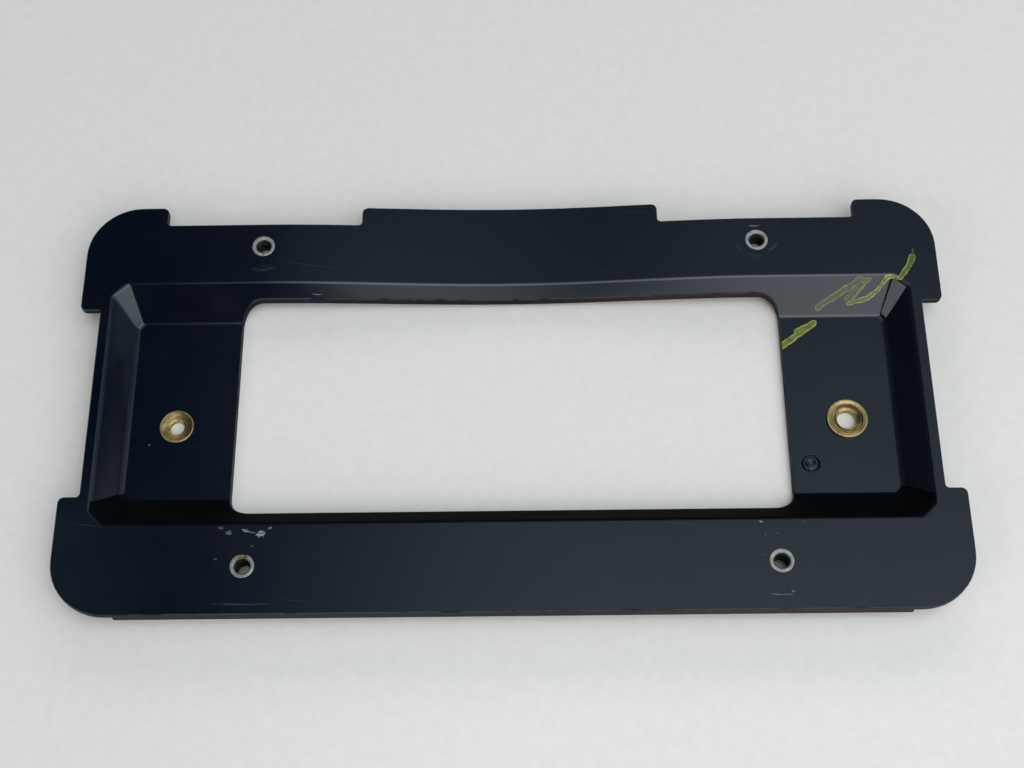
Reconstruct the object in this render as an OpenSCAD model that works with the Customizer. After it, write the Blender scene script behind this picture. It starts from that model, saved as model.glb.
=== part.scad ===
// Number plate holder: a moulded backing tray for a 12 x 6 inch plate, lying face up.
// X runs along the plate, +Y is the plate's top, +Z is the face that carries the plate.
// The origin is under the middle of the screw pattern, on the surface that the tray rests on.

/* [Outline] */
// Width over the four ears
plate_w = 305.4; // [300:0.1:320]
// Height over the ears and the middle tab
plate_h = 153.4; // [150:0.1:160]
// Radius of the four outer corners
corner_r = 19; // [14:0.5:24]
// How far the ears stand out at each end
ear_step = 7.2; // [5:0.1:9]
// Height of the upper ears at the ends
upper_ear_h = 41.6; // [36:0.1:46]
// Height of the lower ears at the ends
lower_ear_h = 41.3; // [36:0.1:46]
// Width of the upper ears along the top edge
upper_ear_w = 28.4; // [24:0.1:40]
// Radius of the small outer corners of the ears and the tab
ear_r = 2.2; // [1:0.1:3]
// Radius of the fillets at the foot of the ears and the tab
notch_r = 1.4; // [0.5:0.1:2]
// Depth of the two notches in the top edge
notch_depth = 7.3; // [5:0.1:10]
// Width of the middle tab between the notches
tab_w = 107.5; // [80:0.5:130]

/* [Sheet] */
// Thickness of the moulded sheet
sheet = 2.7; // [2:0.1:3.5]
// How far the upper rail has sagged at its middle
rail_sag = 4; // [0:0.1:5]
// Half of the length over which the rail sags
sag_half = 90; // [70:1:120]
// Width of the band, across the wall, over which the sag fades in
sag_fade = 22; // [12:0.5:30]
// Distance of the ends of the bottom edge's stiffening lip from the ends of the outline
lip_end = 21.7; // [20:0.1:50]
// Height of the lip's face, sheet included
lip_h = 5.8; // [4:0.1:8]
// Thickness of the lip
lip_t = 2.2; // [1.5:0.1:3]

/* [Recess] */
// Width of the flat rail at the two ends
end_rail = 11.3; // [10:0.1:16]
// Width of the flat rail along the two long sides
side_rail = 31.3; // [27:0.1:34]
// Depth of the recess
recess_depth = 9.8; // [6:0.1:12]
// Run of the sloping wall at the two ends
end_run = 7.3; // [6:0.1:12]
// Run of the sloping wall along the two long sides
side_run = 11.1; // [8:0.1:14]
// Corner radius of the recess at the face
recess_r = 8.5; // [6:0.1:12]
// Corner radius of the recess at its floor
floor_r = 3; // [2:0.1:5]
// Radius of the soft edge at the top of the wall
edge_r = 2.2; // [1:0.1:2.5]
// Radius of the soft fold at the foot of the wall
foot_r = 2.6; // [1:0.1:3]

/* [Window] */
// Length of the closed pocket left at each end of the recess
pocket_l = 45.2; // [43:0.1:60]
// Width of wall left above the window
ledge_high = 4.6; // [2.5:0.1:8]
// Width of wall left below the window
ledge_low = 5.1; // [2.5:0.1:8]
// Corner radius of the window
window_r = 7.5; // [5:0.1:12]

/* [Threaded inserts] */
// Distance of the plate screws from the ends of the outline, which puts them 7 inches apart
screw_end = 63.8; // [58:0.1:70]
// Distance of the plate screws from the long edges, which puts them 4.75 inches apart
screw_edge = 16.375; // [14:0.025:19]
// Outer diameter of an insert
insert_d = 8.1; // [7.5:0.1:9]
// Thread bore of an insert
insert_bore = 5; // [4:0.1:6]
// Length of an insert
insert_l = 8; // [6:0.1:8.5]
// Depth and width of the chamfer at its mouth
insert_chamfer = 0.5; // [0.2:0.1:0.8]
// Depth of the locking groove round an insert
groove_depth = 0.6; // [0.3:0.1:0.8]
// Diameter of the moulded boss round an insert
boss_d = 12.5; // [11:0.1:14]

/* [Mounting bushes] */
// Distance of both bushes from the ends of the recess
bush_end = 24.5; // [20:0.1:28]
// Distance of both bushes below the middle
bush_low = 6.1; // [0:0.1:20]
// Flange diameter of the left bush
left_flange_d = 12; // [10:0.1:13]
// Bore of the left bush
left_bore = 5; // [4:0.1:5.5]
// Height of the left bush's rim above the floor
left_rim = 0.5; // [0.3:0.1:1.2]
// Flange diameter of the right bush
right_flange_d = 14.2; // [12:0.1:15]
// Bore of the right bush
right_bore = 6.8; // [5:0.1:7]
// Height of the right bush's rim above the floor
right_rim = 1; // [0.3:0.1:1.5]
// Wall of a bush's barrel
barrel_wall = 1.3; // [0.8:0.1:1.8]
// Thickness of a bush's flange, part of it sunk into the floor
flange_t = 1.3; // [1.2:0.1:2]
// Width of the flat rim round the dished face
rim_w = 0.5; // [0.3:0.1:1]
// Depth of the dish below the rim
dish_depth = 1.1; // [0.5:0.1:1.5]

/* [Gate mark] */
// Distance of the moulding gate from the right end of the recess
gate_end = 38.4; // [36:0.1:41]
// Distance of the gate from the lower side of the recess
gate_edge = 22.9; // [19:0.1:25]
// Outer diameter of its ring
gate_d = 6.2; // [4:0.1:7]
// Width of its two grooves
gate_groove = 0.5; // [0.3:0.1:0.8]
// Depth of its two grooves
gate_depth = 0.4; // [0.2:0.1:0.8]

/* [Hidden] */
round_fn = 96;
corner_steps = 8;
bend_steps = 4;
sag_steps = 36;
spare = 5;
eps = 0.01;
face_z = recess_depth + sheet;
floor_z = sheet;
half_w = plate_w / 2;
half_h = plate_h / 2;
// Half sizes of the recess and the window, and where the waist and the ears begin
recess_x = half_w - end_rail;
recess_y = half_h - side_rail;
window_x = recess_x - pocket_l;
window_high = recess_y - ledge_high;
window_low = recess_y - ledge_low;
waist_x = half_w - ear_step;
ear_high = half_h - upper_ear_h;
ear_low = half_h - lower_ear_h;
ear_x = half_w - upper_ear_w;
lip_x = half_w - lip_end;
screw_x = half_w - screw_end;
screw_y = half_h - screw_edge;
bush_x = recess_x - bush_end;
gate_x = recess_x - gate_end;
gate_low = recess_y - gate_edge;
// The sag is full above this height, and fades out below it
sag_to = recess_y + 2 * edge_r;
// The underside bends a little more sharply at the top of the wall, and less at its foot
under_edge_r = edge_r / 2;
under_foot_r = foot_r + sheet / 2;
end_slope = atan(recess_depth / end_run);
side_slope = atan(recess_depth / side_run);

// How far the sheet hangs at a point: a full wave over the rail's middle, nothing at its ends
function wave(x) = abs(x) < sag_half ? pow(cos(90 * x / sag_half), 2) : 0;
function fade(y) = let (u = max(0, min(1, 1 - (sag_to - y) / sag_fade))) u * u * (3 - 2 * u);
function sag(x, y) = rail_sag * wave(x) * fade(y);

// Section of a sloping wall from its top edge to its foot, as [run, height] points.
// start is where the face's line meets the wall's line, and both bends are true arcs.
function wall_section(start, slope, r_top, r_low) =
    let (a = r_top * tan(slope / 2), b = r_low * tan(slope / 2),
         foot = start + [recess_depth / tan(slope), -recess_depth],
         high = start + [-a, -r_top], low = foot + [b, r_low])
    concat([for (i = [0:bend_steps]) let (t = slope * i / bend_steps) high + r_top * [sin(t), cos(t)]],
           [for (i = [bend_steps:-1:0]) let (t = slope * i / bend_steps) low - r_low * [sin(t), cos(t)]]);

// The same wall seen on the sheet's face (under = 0) and on its underside (under = 1)
function wall_run(slope, under) =
    wall_section([-under * sheet * tan(slope / 2), face_z - under * sheet], slope,
                 under ? under_edge_r : edge_r, under ? under_foot_r : foot_r);

// One closed ring: a rectangle with round corners, whose height goes from end_z on the two
// ends to side_z on the two long sides. The upper side has extra points where it sags.
function corner(cx, cy, r, from, end_z, side_z) =
    [for (i = [0:corner_steps]) let (t = from + 90 * i / corner_steps, s = pow(sin(t), 2))
        [cx + r * cos(t), cy + r * sin(t), end_z * (1 - s) + side_z * s]];
function ring(hx, hy, r, end_z, side_z) =
    let (cx = hx - r, cy = hy - r, span = min(sag_half, cx - r),
         flat = concat(corner(cx, cy, r, 0, end_z, side_z),
                       [for (i = [0:sag_steps]) [span * (1 - 2 * i / sag_steps), hy, side_z]],
                       corner(-cx, cy, r, 90, end_z, side_z),
                       corner(-cx, -cy, r, 180, end_z, side_z),
                       corner(cx, -cy, r, 270, end_z, side_z)))
    [for (p = flat) [p[0], p[1], p[2] - sag(p[0], p[1])]];

function wall_rings(under) =
    let (ends = wall_run(end_slope, under), sides = wall_run(side_slope, under), last = len(ends) - 1)
    [for (i = [0:last]) let (u = max(0, ends[i][0]) / end_run)
        ring(recess_x - ends[i][0], recess_y - sides[i][0],
             recess_r + (floor_r - recess_r) * min(1, u), ends[i][1], sides[i][1])];

// The sheet with its recess pressed in: rings from beyond the outline to inside the window,
// along the face and back along the underside
module sheet_body() {
    in_x = window_x / 2;
    in_y = window_low / 2;
    in_r = window_r / 2;
    rings = concat(
        [ring(half_w + spare, half_h + spare, spare, face_z, face_z)], wall_rings(0),
        [ring(in_x, in_y, in_r, floor_z, floor_z), ring(in_x, in_y, in_r, 0, 0)],
        [let (r = wall_rings(1)) for (i = [len(r) - 1:-1:0]) r[i]],
        [ring(half_w + spare, half_h + spare, spare, face_z - sheet, face_z - sheet)]);
    n = len(rings[0]);
    m = len(rings);
    points = [for (r = rings) each r];
    faces = [for (k = [0:m - 1], j = [0:n - 1])
        let (here = k * n, next = (k + 1) % m * n, step = (j + 1) % n)
        each [[here + j, next + j, next + step], [here + j, next + step, here + step]]];
    polyhedron(points, faces, convexity = 10);
}

// Rectangle between two corners, with its four corner radii, lower left first and anticlockwise
module soft_box(a, b, radii) {
    difference() {
        translate(a) square(b - a);
        for (i = [0:3]) {
            sx = (i == 0 || i == 3) ? 1 : -1;
            sy = i < 2 ? 1 : -1;
            r = radii[i];
            if (r > 0)
                translate([sx > 0 ? a[0] : b[0], sy > 0 ? a[1] : b[1]]) scale([sx, sy]) difference() {
                    translate([-spare, -spare]) square(r + spare);
                    translate([r, r]) circle(r, $fn = round_fn);
                }
        }
    }
}

// Material left in an inner corner, which opens towards +X and +Y before it is mirrored
module fillet(at, flip, r) {
    translate(at) scale(flip) difference() {
        translate([-eps, -eps]) square(r + eps);
        translate([r, r]) circle(r, $fn = round_fn);
    }
}

module outline() {
    r = corner_r;
    s = ear_r;
    top = half_h - notch_depth;
    union() {
        translate([-waist_x, -ear_low - spare]) square([2 * waist_x, top + ear_low + spare]);
        soft_box([-half_w, -half_h], [half_w, -ear_low], [r, r, s, s]);
        soft_box([-half_w, ear_high], [-ear_x, half_h], [s, 0, s, r]);
        soft_box([ear_x, ear_high], [half_w, half_h], [0, s, r, s]);
        translate([-ear_x - eps, ear_high]) square([2 * (ear_x + eps), top - ear_high]);
        soft_box([-tab_w / 2, top - spare], [tab_w / 2, half_h], [0, 0, s, s]);
        for (m = [-1, 1]) {
            fillet([m * tab_w / 2, top], [m, 1], notch_r);
            fillet([m * ear_x, top], [-m, 1], notch_r);
            fillet([m * waist_x, ear_high], [m, -1], notch_r / 2);
            fillet([m * waist_x, -ear_low], [m, 1], notch_r);
        }
    }
}

module window() {
    r = window_r;
    translate([0, 0, -spare]) linear_extrude(face_z + 2 * spare)
        soft_box([-window_x, -window_low], [window_x, window_high], [r, r, r, r]);
}

module at_screw(sx, sy) { translate([sx * screw_x, sy * screw_y, face_z]) children(); }
module at_screws() {
    for (sx = [-1, 1], sy = [-1, 1]) at_screw(sx, sy) children();
}

module at_bush(side) { translate([side * bush_x, -bush_low, floor_z]) children(); }

// Outer form of an insert, from its flush face down, with one locking groove
module insert_form() {
    r = insert_d / 2;
    g = r - groove_depth;
    third = insert_l / 3;
    rotate_extrude($fn = round_fn)
        polygon([[0, 0], [r, 0], [r, -third], [g, -third], [g, -2 * third], [r, -2 * third],
                 [r, -insert_l], [0, -insert_l]]);
}

// Outer form of a bush: a flange whose rim stands above the floor, and a barrel through the sheet
module bush_form(flange_d, bore_d, rim, end) {
    translate([0, 0, rim - flange_t]) cylinder(r = flange_d / 2, h = flange_t, $fn = round_fn);
    translate([0, 0, -sheet - end])
        cylinder(r = bore_d / 2 + barrel_wall, h = sheet + end + rim, $fn = round_fn);
}

module gate_mark() {
    translate([gate_x, -gate_low, floor_z - gate_depth]) for (r = [gate_d / 2, gate_d / 4]) difference() {
        cylinder(r = r, h = gate_depth + spare, $fn = round_fn);
        translate([0, 0, -spare])
            cylinder(r = r - gate_groove, h = gate_depth + 3 * spare, $fn = round_fn);
    }
}

module holder_plate() {
    color([0.09, 0.10, 0.12]) difference() {
        intersection() {
            linear_extrude(face_z + eps) outline();
            union() {
                sheet_body();
                translate([-lip_x, -half_h - spare, face_z - lip_h])
                    cube([2 * lip_x, lip_t + spare, lip_h - sheet / 2]);
                at_screws() translate([0, 0, -insert_l])
                    cylinder(r = boss_d / 2, h = insert_l - sheet / 2, $fn = round_fn);
            }
        }
        window();
        at_screws() insert_form();
        at_bush(-1) bush_form(left_flange_d, left_bore, left_rim, spare);
        at_bush(1) bush_form(right_flange_d, right_bore, right_rim, spare);
        gate_mark();
    }
}

module threaded_insert(sx, sy) {
    c = insert_chamfer;
    r = insert_bore / 2;
    color([0.62, 0.63, 0.62]) at_screw(sx, sy) difference() {
        insert_form();
        translate([0, 0, -insert_l - spare]) cylinder(r = r, h = insert_l + 2 * spare, $fn = round_fn);
        translate([0, 0, -c]) cylinder(r1 = r, r2 = r + 2 * c, h = 2 * c, $fn = round_fn);
    }
}

module mounting_bush(side, flange_d, bore_d, rim) {
    r = bore_d / 2;
    edge = flange_d / 2 - rim_w;
    step = (edge - r) / 2;
    low = rim - dish_depth;
    color([0.71, 0.58, 0.32]) at_bush(side) difference() {
        bush_form(flange_d, bore_d, rim, 0);
        translate([0, 0, -sheet - spare]) cylinder(r = r, h = sheet + rim + 2 * spare, $fn = round_fn);
        rotate_extrude($fn = round_fn)
            polygon([[0, low], [r, low], [r + step, rim - dish_depth / 2], [edge, rim - rim_w / 2],
                     [edge, rim + spare], [0, rim + spare]]);
    }
}

module insert_upper_left() { threaded_insert(-1, 1); }
module insert_upper_right() { threaded_insert(1, 1); }
module insert_lower_left() { threaded_insert(-1, -1); }
module insert_lower_right() { threaded_insert(1, -1); }
module mounting_bush_left() { mounting_bush(-1, left_flange_d, left_bore, left_rim); }
module mounting_bush_right() { mounting_bush(1, right_flange_d, right_bore, right_rim); }

holder_plate();
insert_upper_left();
insert_upper_right();
insert_lower_left();
insert_lower_right();
mounting_bush_left();
mounting_bush_right();
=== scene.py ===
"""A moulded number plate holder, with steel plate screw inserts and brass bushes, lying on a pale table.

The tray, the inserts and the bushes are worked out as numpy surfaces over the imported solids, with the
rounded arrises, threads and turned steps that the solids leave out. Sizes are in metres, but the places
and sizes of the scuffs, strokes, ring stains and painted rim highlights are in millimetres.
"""

import logging
import math
from dataclasses import dataclass, field, replace
from enum import Enum
from functools import reduce

import bmesh
import bpy
import numpy as np
from mathutils import Matrix, Vector
from mathutils.geometry import delaunay_2d_cdt


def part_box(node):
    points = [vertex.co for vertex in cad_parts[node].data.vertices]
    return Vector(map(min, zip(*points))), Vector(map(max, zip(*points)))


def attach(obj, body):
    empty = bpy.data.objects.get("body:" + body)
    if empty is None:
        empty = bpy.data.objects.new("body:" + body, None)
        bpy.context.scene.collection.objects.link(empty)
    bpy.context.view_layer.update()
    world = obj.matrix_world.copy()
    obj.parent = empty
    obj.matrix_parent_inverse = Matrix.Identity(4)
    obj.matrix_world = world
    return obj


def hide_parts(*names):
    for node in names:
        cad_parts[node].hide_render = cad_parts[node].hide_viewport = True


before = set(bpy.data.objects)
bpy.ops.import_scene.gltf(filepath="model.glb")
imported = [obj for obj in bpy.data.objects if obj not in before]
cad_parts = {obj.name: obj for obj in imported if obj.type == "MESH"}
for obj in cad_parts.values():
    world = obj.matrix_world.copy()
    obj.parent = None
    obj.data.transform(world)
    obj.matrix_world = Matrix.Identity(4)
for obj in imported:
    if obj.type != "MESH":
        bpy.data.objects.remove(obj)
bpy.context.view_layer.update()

log = logging.getLogger("plate_holder")
MM = 0.001
ROOT = "root"
Array = np.ndarray
Feed = bpy.types.NodeSocket | float | tuple


class Side(Enum):
    """The two ends of the tray."""

    LEFT = -1
    RIGHT = 1


# Radius of each bush's bore
BORE_R = {Side.LEFT: 2.5 * MM, Side.RIGHT: 3.4 * MM}


class Slot(Enum):
    """The material slots."""

    PLASTIC = "moulded_plastic"
    STEEL = "insert_steel"
    BRASS = "bush_brass"


def middle_of(node: str) -> Array:
    """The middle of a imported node's box in plan, as x and y."""
    low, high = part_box(node)
    return (np.array(low[:2]) + np.array(high[:2])) / 2


def bush_node(side: Side) -> str:
    """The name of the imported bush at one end."""
    return f"mounting_bush_{side.name.lower()}"


def smooth_rise(x: Array) -> Array:
    """Goes from 0 to 1 as x does, level at both ends: 3x^2 - 2x^3."""
    x = np.clip(x, 0.0, 1.0)
    return x * x * (3.0 - 2.0 * x)


@dataclass(frozen=True)
class TraySizes:
    """Driving sizes of the tray: its solid's, but for a sharper fade of the sag and a deeper gate mark."""

    corner_r: float = 19.0 * MM
    ear_step: float = 7.2 * MM
    upper_ear_h: float = 41.6 * MM
    lower_ear_h: float = 41.3 * MM
    upper_ear_w: float = 28.4 * MM
    ear_r: float = 2.2 * MM
    notch_r: float = 1.4 * MM
    notch_depth: float = 7.3 * MM
    tab_w: float = 107.5 * MM
    sheet: float = 2.7 * MM
    rail_sag: float = 4.0 * MM
    sag_half: float = 90.0 * MM
    sag_fade: float = 18.4 * MM
    lip_end: float = 21.7 * MM
    lip_h: float = 5.8 * MM
    lip_t: float = 2.2 * MM
    end_rail: float = 11.3 * MM
    side_rail: float = 31.3 * MM
    depth: float = 9.8 * MM
    end_run: float = 7.3 * MM
    side_run: float = 11.1 * MM
    recess_r: float = 8.5 * MM
    floor_r: float = 3.0 * MM
    edge_r: float = 2.2 * MM
    foot_r: float = 2.6 * MM
    pocket_l: float = 45.2 * MM
    ledge_high: float = 4.6 * MM
    ledge_low: float = 5.1 * MM
    window_r: float = 7.5 * MM
    boss_r: float = 6.25 * MM
    barrel_wall: float = 1.3 * MM
    seat_depth: float = 0.8 * MM
    gate_end: float = 38.4 * MM
    gate_edge: float = 22.9 * MM
    gate_r: float = 2.9 * MM
    gate_depth: float = 0.65 * MM
    arris: float = 0.35 * MM
    fine_arris: float = 0.12 * MM


@dataclass(frozen=True)
class Loop:
    """A closed outline in plan, anticlockwise, with its outward normals."""

    points: Array
    normals: Array

    def moved(self, out: float) -> "Loop":
        """The same outline, moved outwards by a distance."""
        return Loop(self.points + self.normals * out, self.normals)

    def refined(self, step: float) -> "Loop":
        """The same outline with its straight runs split into pieces no longer than step.

        Args:
            step: the longest piece.

        Returns:
            The finer outline.
        """
        ahead, turn = np.roll(self.points, -1, 0), np.roll(self.normals, -1, 0)
        count = np.maximum(1, np.ceil(np.linalg.norm(ahead - self.points, axis=1) / step)).astype(int)
        at = np.repeat(np.arange(len(count)), count)
        share = (np.arange(len(at)) - np.repeat(np.cumsum(count) - count, count)) / count[at]
        points = self.points[at] + (ahead - self.points)[at] * share[:, None]
        normals = self.normals[at] + (turn - self.normals)[at] * share[:, None]
        return Loop(points, normals / np.linalg.norm(normals, axis=1, keepdims=True))

    def holds(self, places: Array) -> Array:
        """Which places lie inside: a ray towards +X crosses the outline an odd number of times.

        Args:
            places: points in plan, one a row.

        Returns:
            A truth value for each place.
        """
        a, b = self.points, np.roll(self.points, -1, 0)
        x, y = places[:, :1], places[:, 1:]
        straddles = (a[:, 1] > y) != (b[:, 1] > y)
        rise = np.where(b[:, 1] == a[:, 1], 1.0, b[:, 1] - a[:, 1])
        crossing = a[:, 0] + (y - a[:, 1]) * (b[:, 0] - a[:, 0]) / rise
        return (straddles & (x < crossing)).sum(1) % 2 == 1


def drawn_in(edges: list[Loop], gap: float) -> list[Loop]:
    """A face's outlines, the outer one first, each moved into the face by a gap."""
    return [edges[0].moved(-gap)] + [edge.moved(gap) for edge in edges[1:]]


def within(edges: list[Loop], places: Array) -> Array:
    """Which places lie inside a face's outer outline and outside its holes.

    Args:
        edges: the face's outlines, the outer one first.
        places: points in plan, one a row.

    Returns:
        A truth value for each place.
    """
    keep = edges[0].holds(places)
    for hole in edges[1:]:
        keep &= ~hole.holds(places)
    return keep


def round_corners(corners: Array, radii: Array, steps: int) -> Loop:
    """An outline whose corners are arcs that meet both straight runs smoothly.

    The arc of a corner begins at radius times the tangent of half the turn before it, and its points are
    the centre minus the turned left normal times the radius, for a left turn or a right one.

    Args:
        corners: the corners before rounding, anticlockwise.
        radii: one radius a corner.
        steps: pieces in each arc.

    Returns:
        The rounded outline.
    """
    come = corners - np.roll(corners, 1, 0)
    come /= np.linalg.norm(come, axis=1, keepdims=True)
    leave = np.roll(come, -1, 0)
    turn = np.arctan2(come[:, 0] * leave[:, 1] - come[:, 1] * leave[:, 0], (come * leave).sum(1))
    left = np.stack([-come[:, 1], come[:, 0]], 1)
    start = corners - come * (radii * np.tan(np.abs(turn) / 2))[:, None]
    arm = left * (np.sign(turn) * radii)[:, None]
    angle = turn[:, None] * np.linspace(0.0, 1.0, steps + 1)
    cos, sin = np.cos(angle), np.sin(angle)

    def turned(v: Array) -> Array:
        """Each corner's vector, turned by each of its angles."""
        x, y = v[:, :1], v[:, 1:]
        return np.stack([x * cos - y * sin, x * sin + y * cos], 2)

    points = ((start + arm)[:, None] - turned(arm)).reshape(-1, 2)
    heading = turned(come).reshape(-1, 2)
    normals = np.stack([heading[:, 1], -heading[:, 0]], 1)
    apart = np.linalg.norm(points - np.roll(points, 1, 0), axis=1) > 1e-6
    return Loop(points[apart], normals[apart])


def circle_loop(centre: Array, radius: float, steps: int) -> Loop:
    """A circle as an outline of equal steps.

    Args:
        centre: its middle in plan.
        radius: its radius.
        steps: how many points it has.

    Returns:
        The outline.
    """
    angle = np.linspace(0.0, 2.0 * math.pi, steps, endpoint=False)
    normals = np.stack([np.cos(angle), np.sin(angle)], 1)
    return Loop(centre + normals * radius, normals)


class TrayForm:
    """The tray's two faces as functions of a place in plan, and its outlines."""

    ARC_STEPS = 12
    HALVINGS = 26
    # Power and unit of the measure that shapes the recess's corners
    CORNER_POWER, CM_A_METRE = 48, 100.0
    # Longest distance between the points of the outline, of the window and of the wall's rings
    EDGE_STEP, WINDOW_STEP, RING_STEP = 2.5 * MM, 1.5 * MM, 2.2 * MM

    def __init__(self, sizes: TraySizes) -> None:
        """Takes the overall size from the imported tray, and the rest from the driving sizes.

        Args:
            sizes: the driving sizes.
        """
        low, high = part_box("holder_plate")
        self.s = sizes
        self.half = np.array([high.x - low.x, high.y - low.y]) / 2
        self.face_z = high.z
        self.floor_z = sizes.sheet
        self.recess = self.half - np.array([sizes.end_rail, sizes.side_rail])
        self.slopes = np.arctan2(sizes.depth, np.array([sizes.end_run, sizes.side_run]))
        self.gate = np.array([self.recess[0] - sizes.gate_end, sizes.gate_edge - self.recess[1]])

    def outline(self) -> Loop:
        """The outer edge, with its ears, notches and tab, and a step where each end of the lip is.

        Returns:
            The outline.
        """
        s, (w, h) = self.s, self.half
        waist, ear, tab = w - s.ear_step, w - s.upper_ear_w, s.tab_w / 2
        high, low, top = h - s.upper_ear_h, s.lower_ear_h - h, h - s.notch_depth
        lip, step = w - s.lip_end, 0.02 * MM
        right = [
            (lip - step, -h, 0.0), (lip, -h, 0.0), (w, -h, s.corner_r), (w, low, s.ear_r),
            (waist, low, s.notch_r), (waist, high, s.notch_r / 2), (w, high, s.ear_r), (w, h, s.corner_r),
            (ear, h, s.ear_r), (ear, top, s.notch_r), (tab, top, s.notch_r), (tab, h, s.ear_r),
        ]
        rows = np.array(right + [(-x, y, r) for x, y, r in reversed(right)])
        return round_corners(rows[:, :2], rows[:, 2], self.ARC_STEPS).refined(self.EDGE_STEP)

    def window(self) -> Loop:
        """The edge of the window.

        Returns:
            The outline.
        """
        s = self.s
        x = self.recess[0] - s.pocket_l
        high, low = self.recess[1] - s.ledge_high, s.ledge_low - self.recess[1]
        corners = np.array([(-x, low), (x, low), (x, high), (-x, high)])
        return round_corners(corners, np.full(4, s.window_r), self.ARC_STEPS).refined(self.WINDOW_STEP)

    def sag(self, p: Array) -> Array:
        """How far the sheet hangs: a cosine-squared wave along the upper rail, faded in across the wall.

        Args:
            p: points in plan, one a row.

        Returns:
            The drop at each.
        """
        s = self.s
        wave = np.where(np.abs(p[:, 0]) < s.sag_half, np.cos(math.pi / 2 * p[:, 0] / s.sag_half) ** 2, 0.0)
        full = self.recess[1] + s.edge_r * math.tan(self.slopes[1] / 2)
        return s.rail_sag * wave * smooth_rise(1 - (full - p[:, 1]) / s.sag_fade)

    def section(self, u: Array, axis: int, under: bool) -> tuple[Array, Array]:
        """The sloping wall's section at a share u of its way down: an arc, a straight run and an arc.

        Args:
            u: 0 at the top of the wall and 1 at its foot.
            axis: 0 for the wall at an end, 1 for the wall of a long side.
            under: whether this is the underside.

        Returns:
            How far in from the recess's edge the section is, and its height.
        """
        s, slope = self.s, self.slopes[axis]
        r_top, r_low = (s.edge_r / 2, s.foot_r + s.sheet / 2) if under else (s.edge_r, s.foot_r)
        half = math.tan(slope / 2)
        x0, z0 = (-s.sheet * half, self.face_z - s.sheet) if under else (0.0, self.face_z)
        x1, z1 = x0 + s.depth / math.tan(slope), z0 - s.depth
        third = np.clip(3 * u, 0.0, 1.0) * slope
        last = np.clip(3 - 3 * u, 0.0, 1.0) * slope
        top = x0 - r_top * half + r_top * np.sin(third), z0 - r_top + r_top * np.cos(third)
        low = x1 + r_low * half - r_low * np.sin(last), z1 + r_low - r_low * np.cos(last)
        share = np.clip(3 * u - 1, 0.0, 1.0)
        return tuple(a + (b - a) * share for a, b in zip(top, low))

    def ring(self, u: Array, under: bool) -> tuple[Array, Array, Array, Array]:
        """The rounded rectangle of the wall at a share of the way down.

        Args:
            u: the share, 0 at the top of the wall and 1 at its foot.
            under: whether this is the underside.

        Returns:
            Its two half sizes, its radius, and its heights at the ends and at the long sides.
        """
        s = self.s
        (end_in, end_z), (side_in, side_z) = self.section(u, 0, under), self.section(u, 1, under)
        radius = s.recess_r + (s.floor_r - s.recess_r) * np.clip(end_in / s.end_run, 0.0, 1.0)
        return self.recess[0] - end_in, self.recess[1] - side_in, radius, np.stack([end_z, side_z])

    def reach(self, q: Array) -> Array:
        """How far out a place in a corner is, by a measure whose circle is nearly an octagon.

        It is the nth root of the sum of the nth powers of x, y and (x + y) / sqrt 2, so that each corner
        of the recess has one flat facet between its two walls. The places are taken in centimetres, which
        keeps the powers in range.

        Args:
            q: places from the centre of a corner, one a row.

        Returns:
            The distance of each by that measure.
        """
        n = self.CORNER_POWER
        x, y = np.maximum(q, 0.0).T * self.CM_A_METRE
        return (x ** n + y ** n + ((x + y) / math.sqrt(2.0)) ** n) ** (1 / n) / self.CM_A_METRE

    def ring_loop(self, u: float, under: bool) -> Loop:
        """One ring of the wall as an outline in plan: round corners, pushed out to the octagon's measure.

        Args:
            u: the share of the way down the wall.
            under: whether this is the underside.

        Returns:
            The outline.
        """
        hx, hy, radius, _ = self.ring(np.array(u), under)
        corners = np.array([(-hx, -hy), (hx, -hy), (hx, hy), (-hx, hy)])
        loop = round_corners(corners, np.full(4, float(radius)), 16)
        inner = np.array([hx, hy]) - radius
        q = np.abs(loop.points) - inner
        grown = q * (radius / np.maximum(self.reach(q), 1e-9))[:, None]
        points = np.sign(loop.points) * (inner + np.where((q > 0).all(1)[:, None], grown, q))
        return Loop(points, loop.normals).refined(self.RING_STEP)

    def way_down(self, p: Array, under: bool) -> Array:
        """Each place's share of the way down the wall, by halving: 0 on the rail and 1 on the floor.

        Args:
            p: points in plan, one a row.
            under: whether this is the underside.

        Returns:
            The shares.
        """
        low, high = np.zeros(len(p)), np.ones(len(p))
        for _ in range(self.HALVINGS):
            u = (low + high) / 2
            hx, hy, radius, _ = self.ring(u, under)
            q = np.abs(p) - np.stack([hx - radius, hy - radius], 1)
            outside = self.reach(q) + np.minimum(q.max(1), 0.0) > radius
            low, high = np.where(outside, low, u), np.where(outside, u, high)
        return (low + high) / 2

    def height(self, p: Array, under: bool = False) -> Array:
        """The height of the face, or of the underside, over each place in plan.

        In a corner of the recess the height goes from the end wall's to the long wall's by the squared
        sine of the angle round the corner. The rail's sag is then taken off, and the gate's grooves.

        Args:
            p: points in plan, one a row.
            under: whether this is the underside.

        Returns:
            The heights.
        """
        hx, hy, radius, heights = self.ring(self.way_down(p, under), under)
        q = np.maximum(np.abs(p) - np.stack([hx - radius, hy - radius], 1), 0.0)
        share = np.sin(np.arctan2(q[:, 1], q[:, 0])) ** 2
        z = heights[0] * (1 - share) + heights[1] * share - self.sag(p)
        return z if under else z - self.gate_grooves(p)

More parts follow.
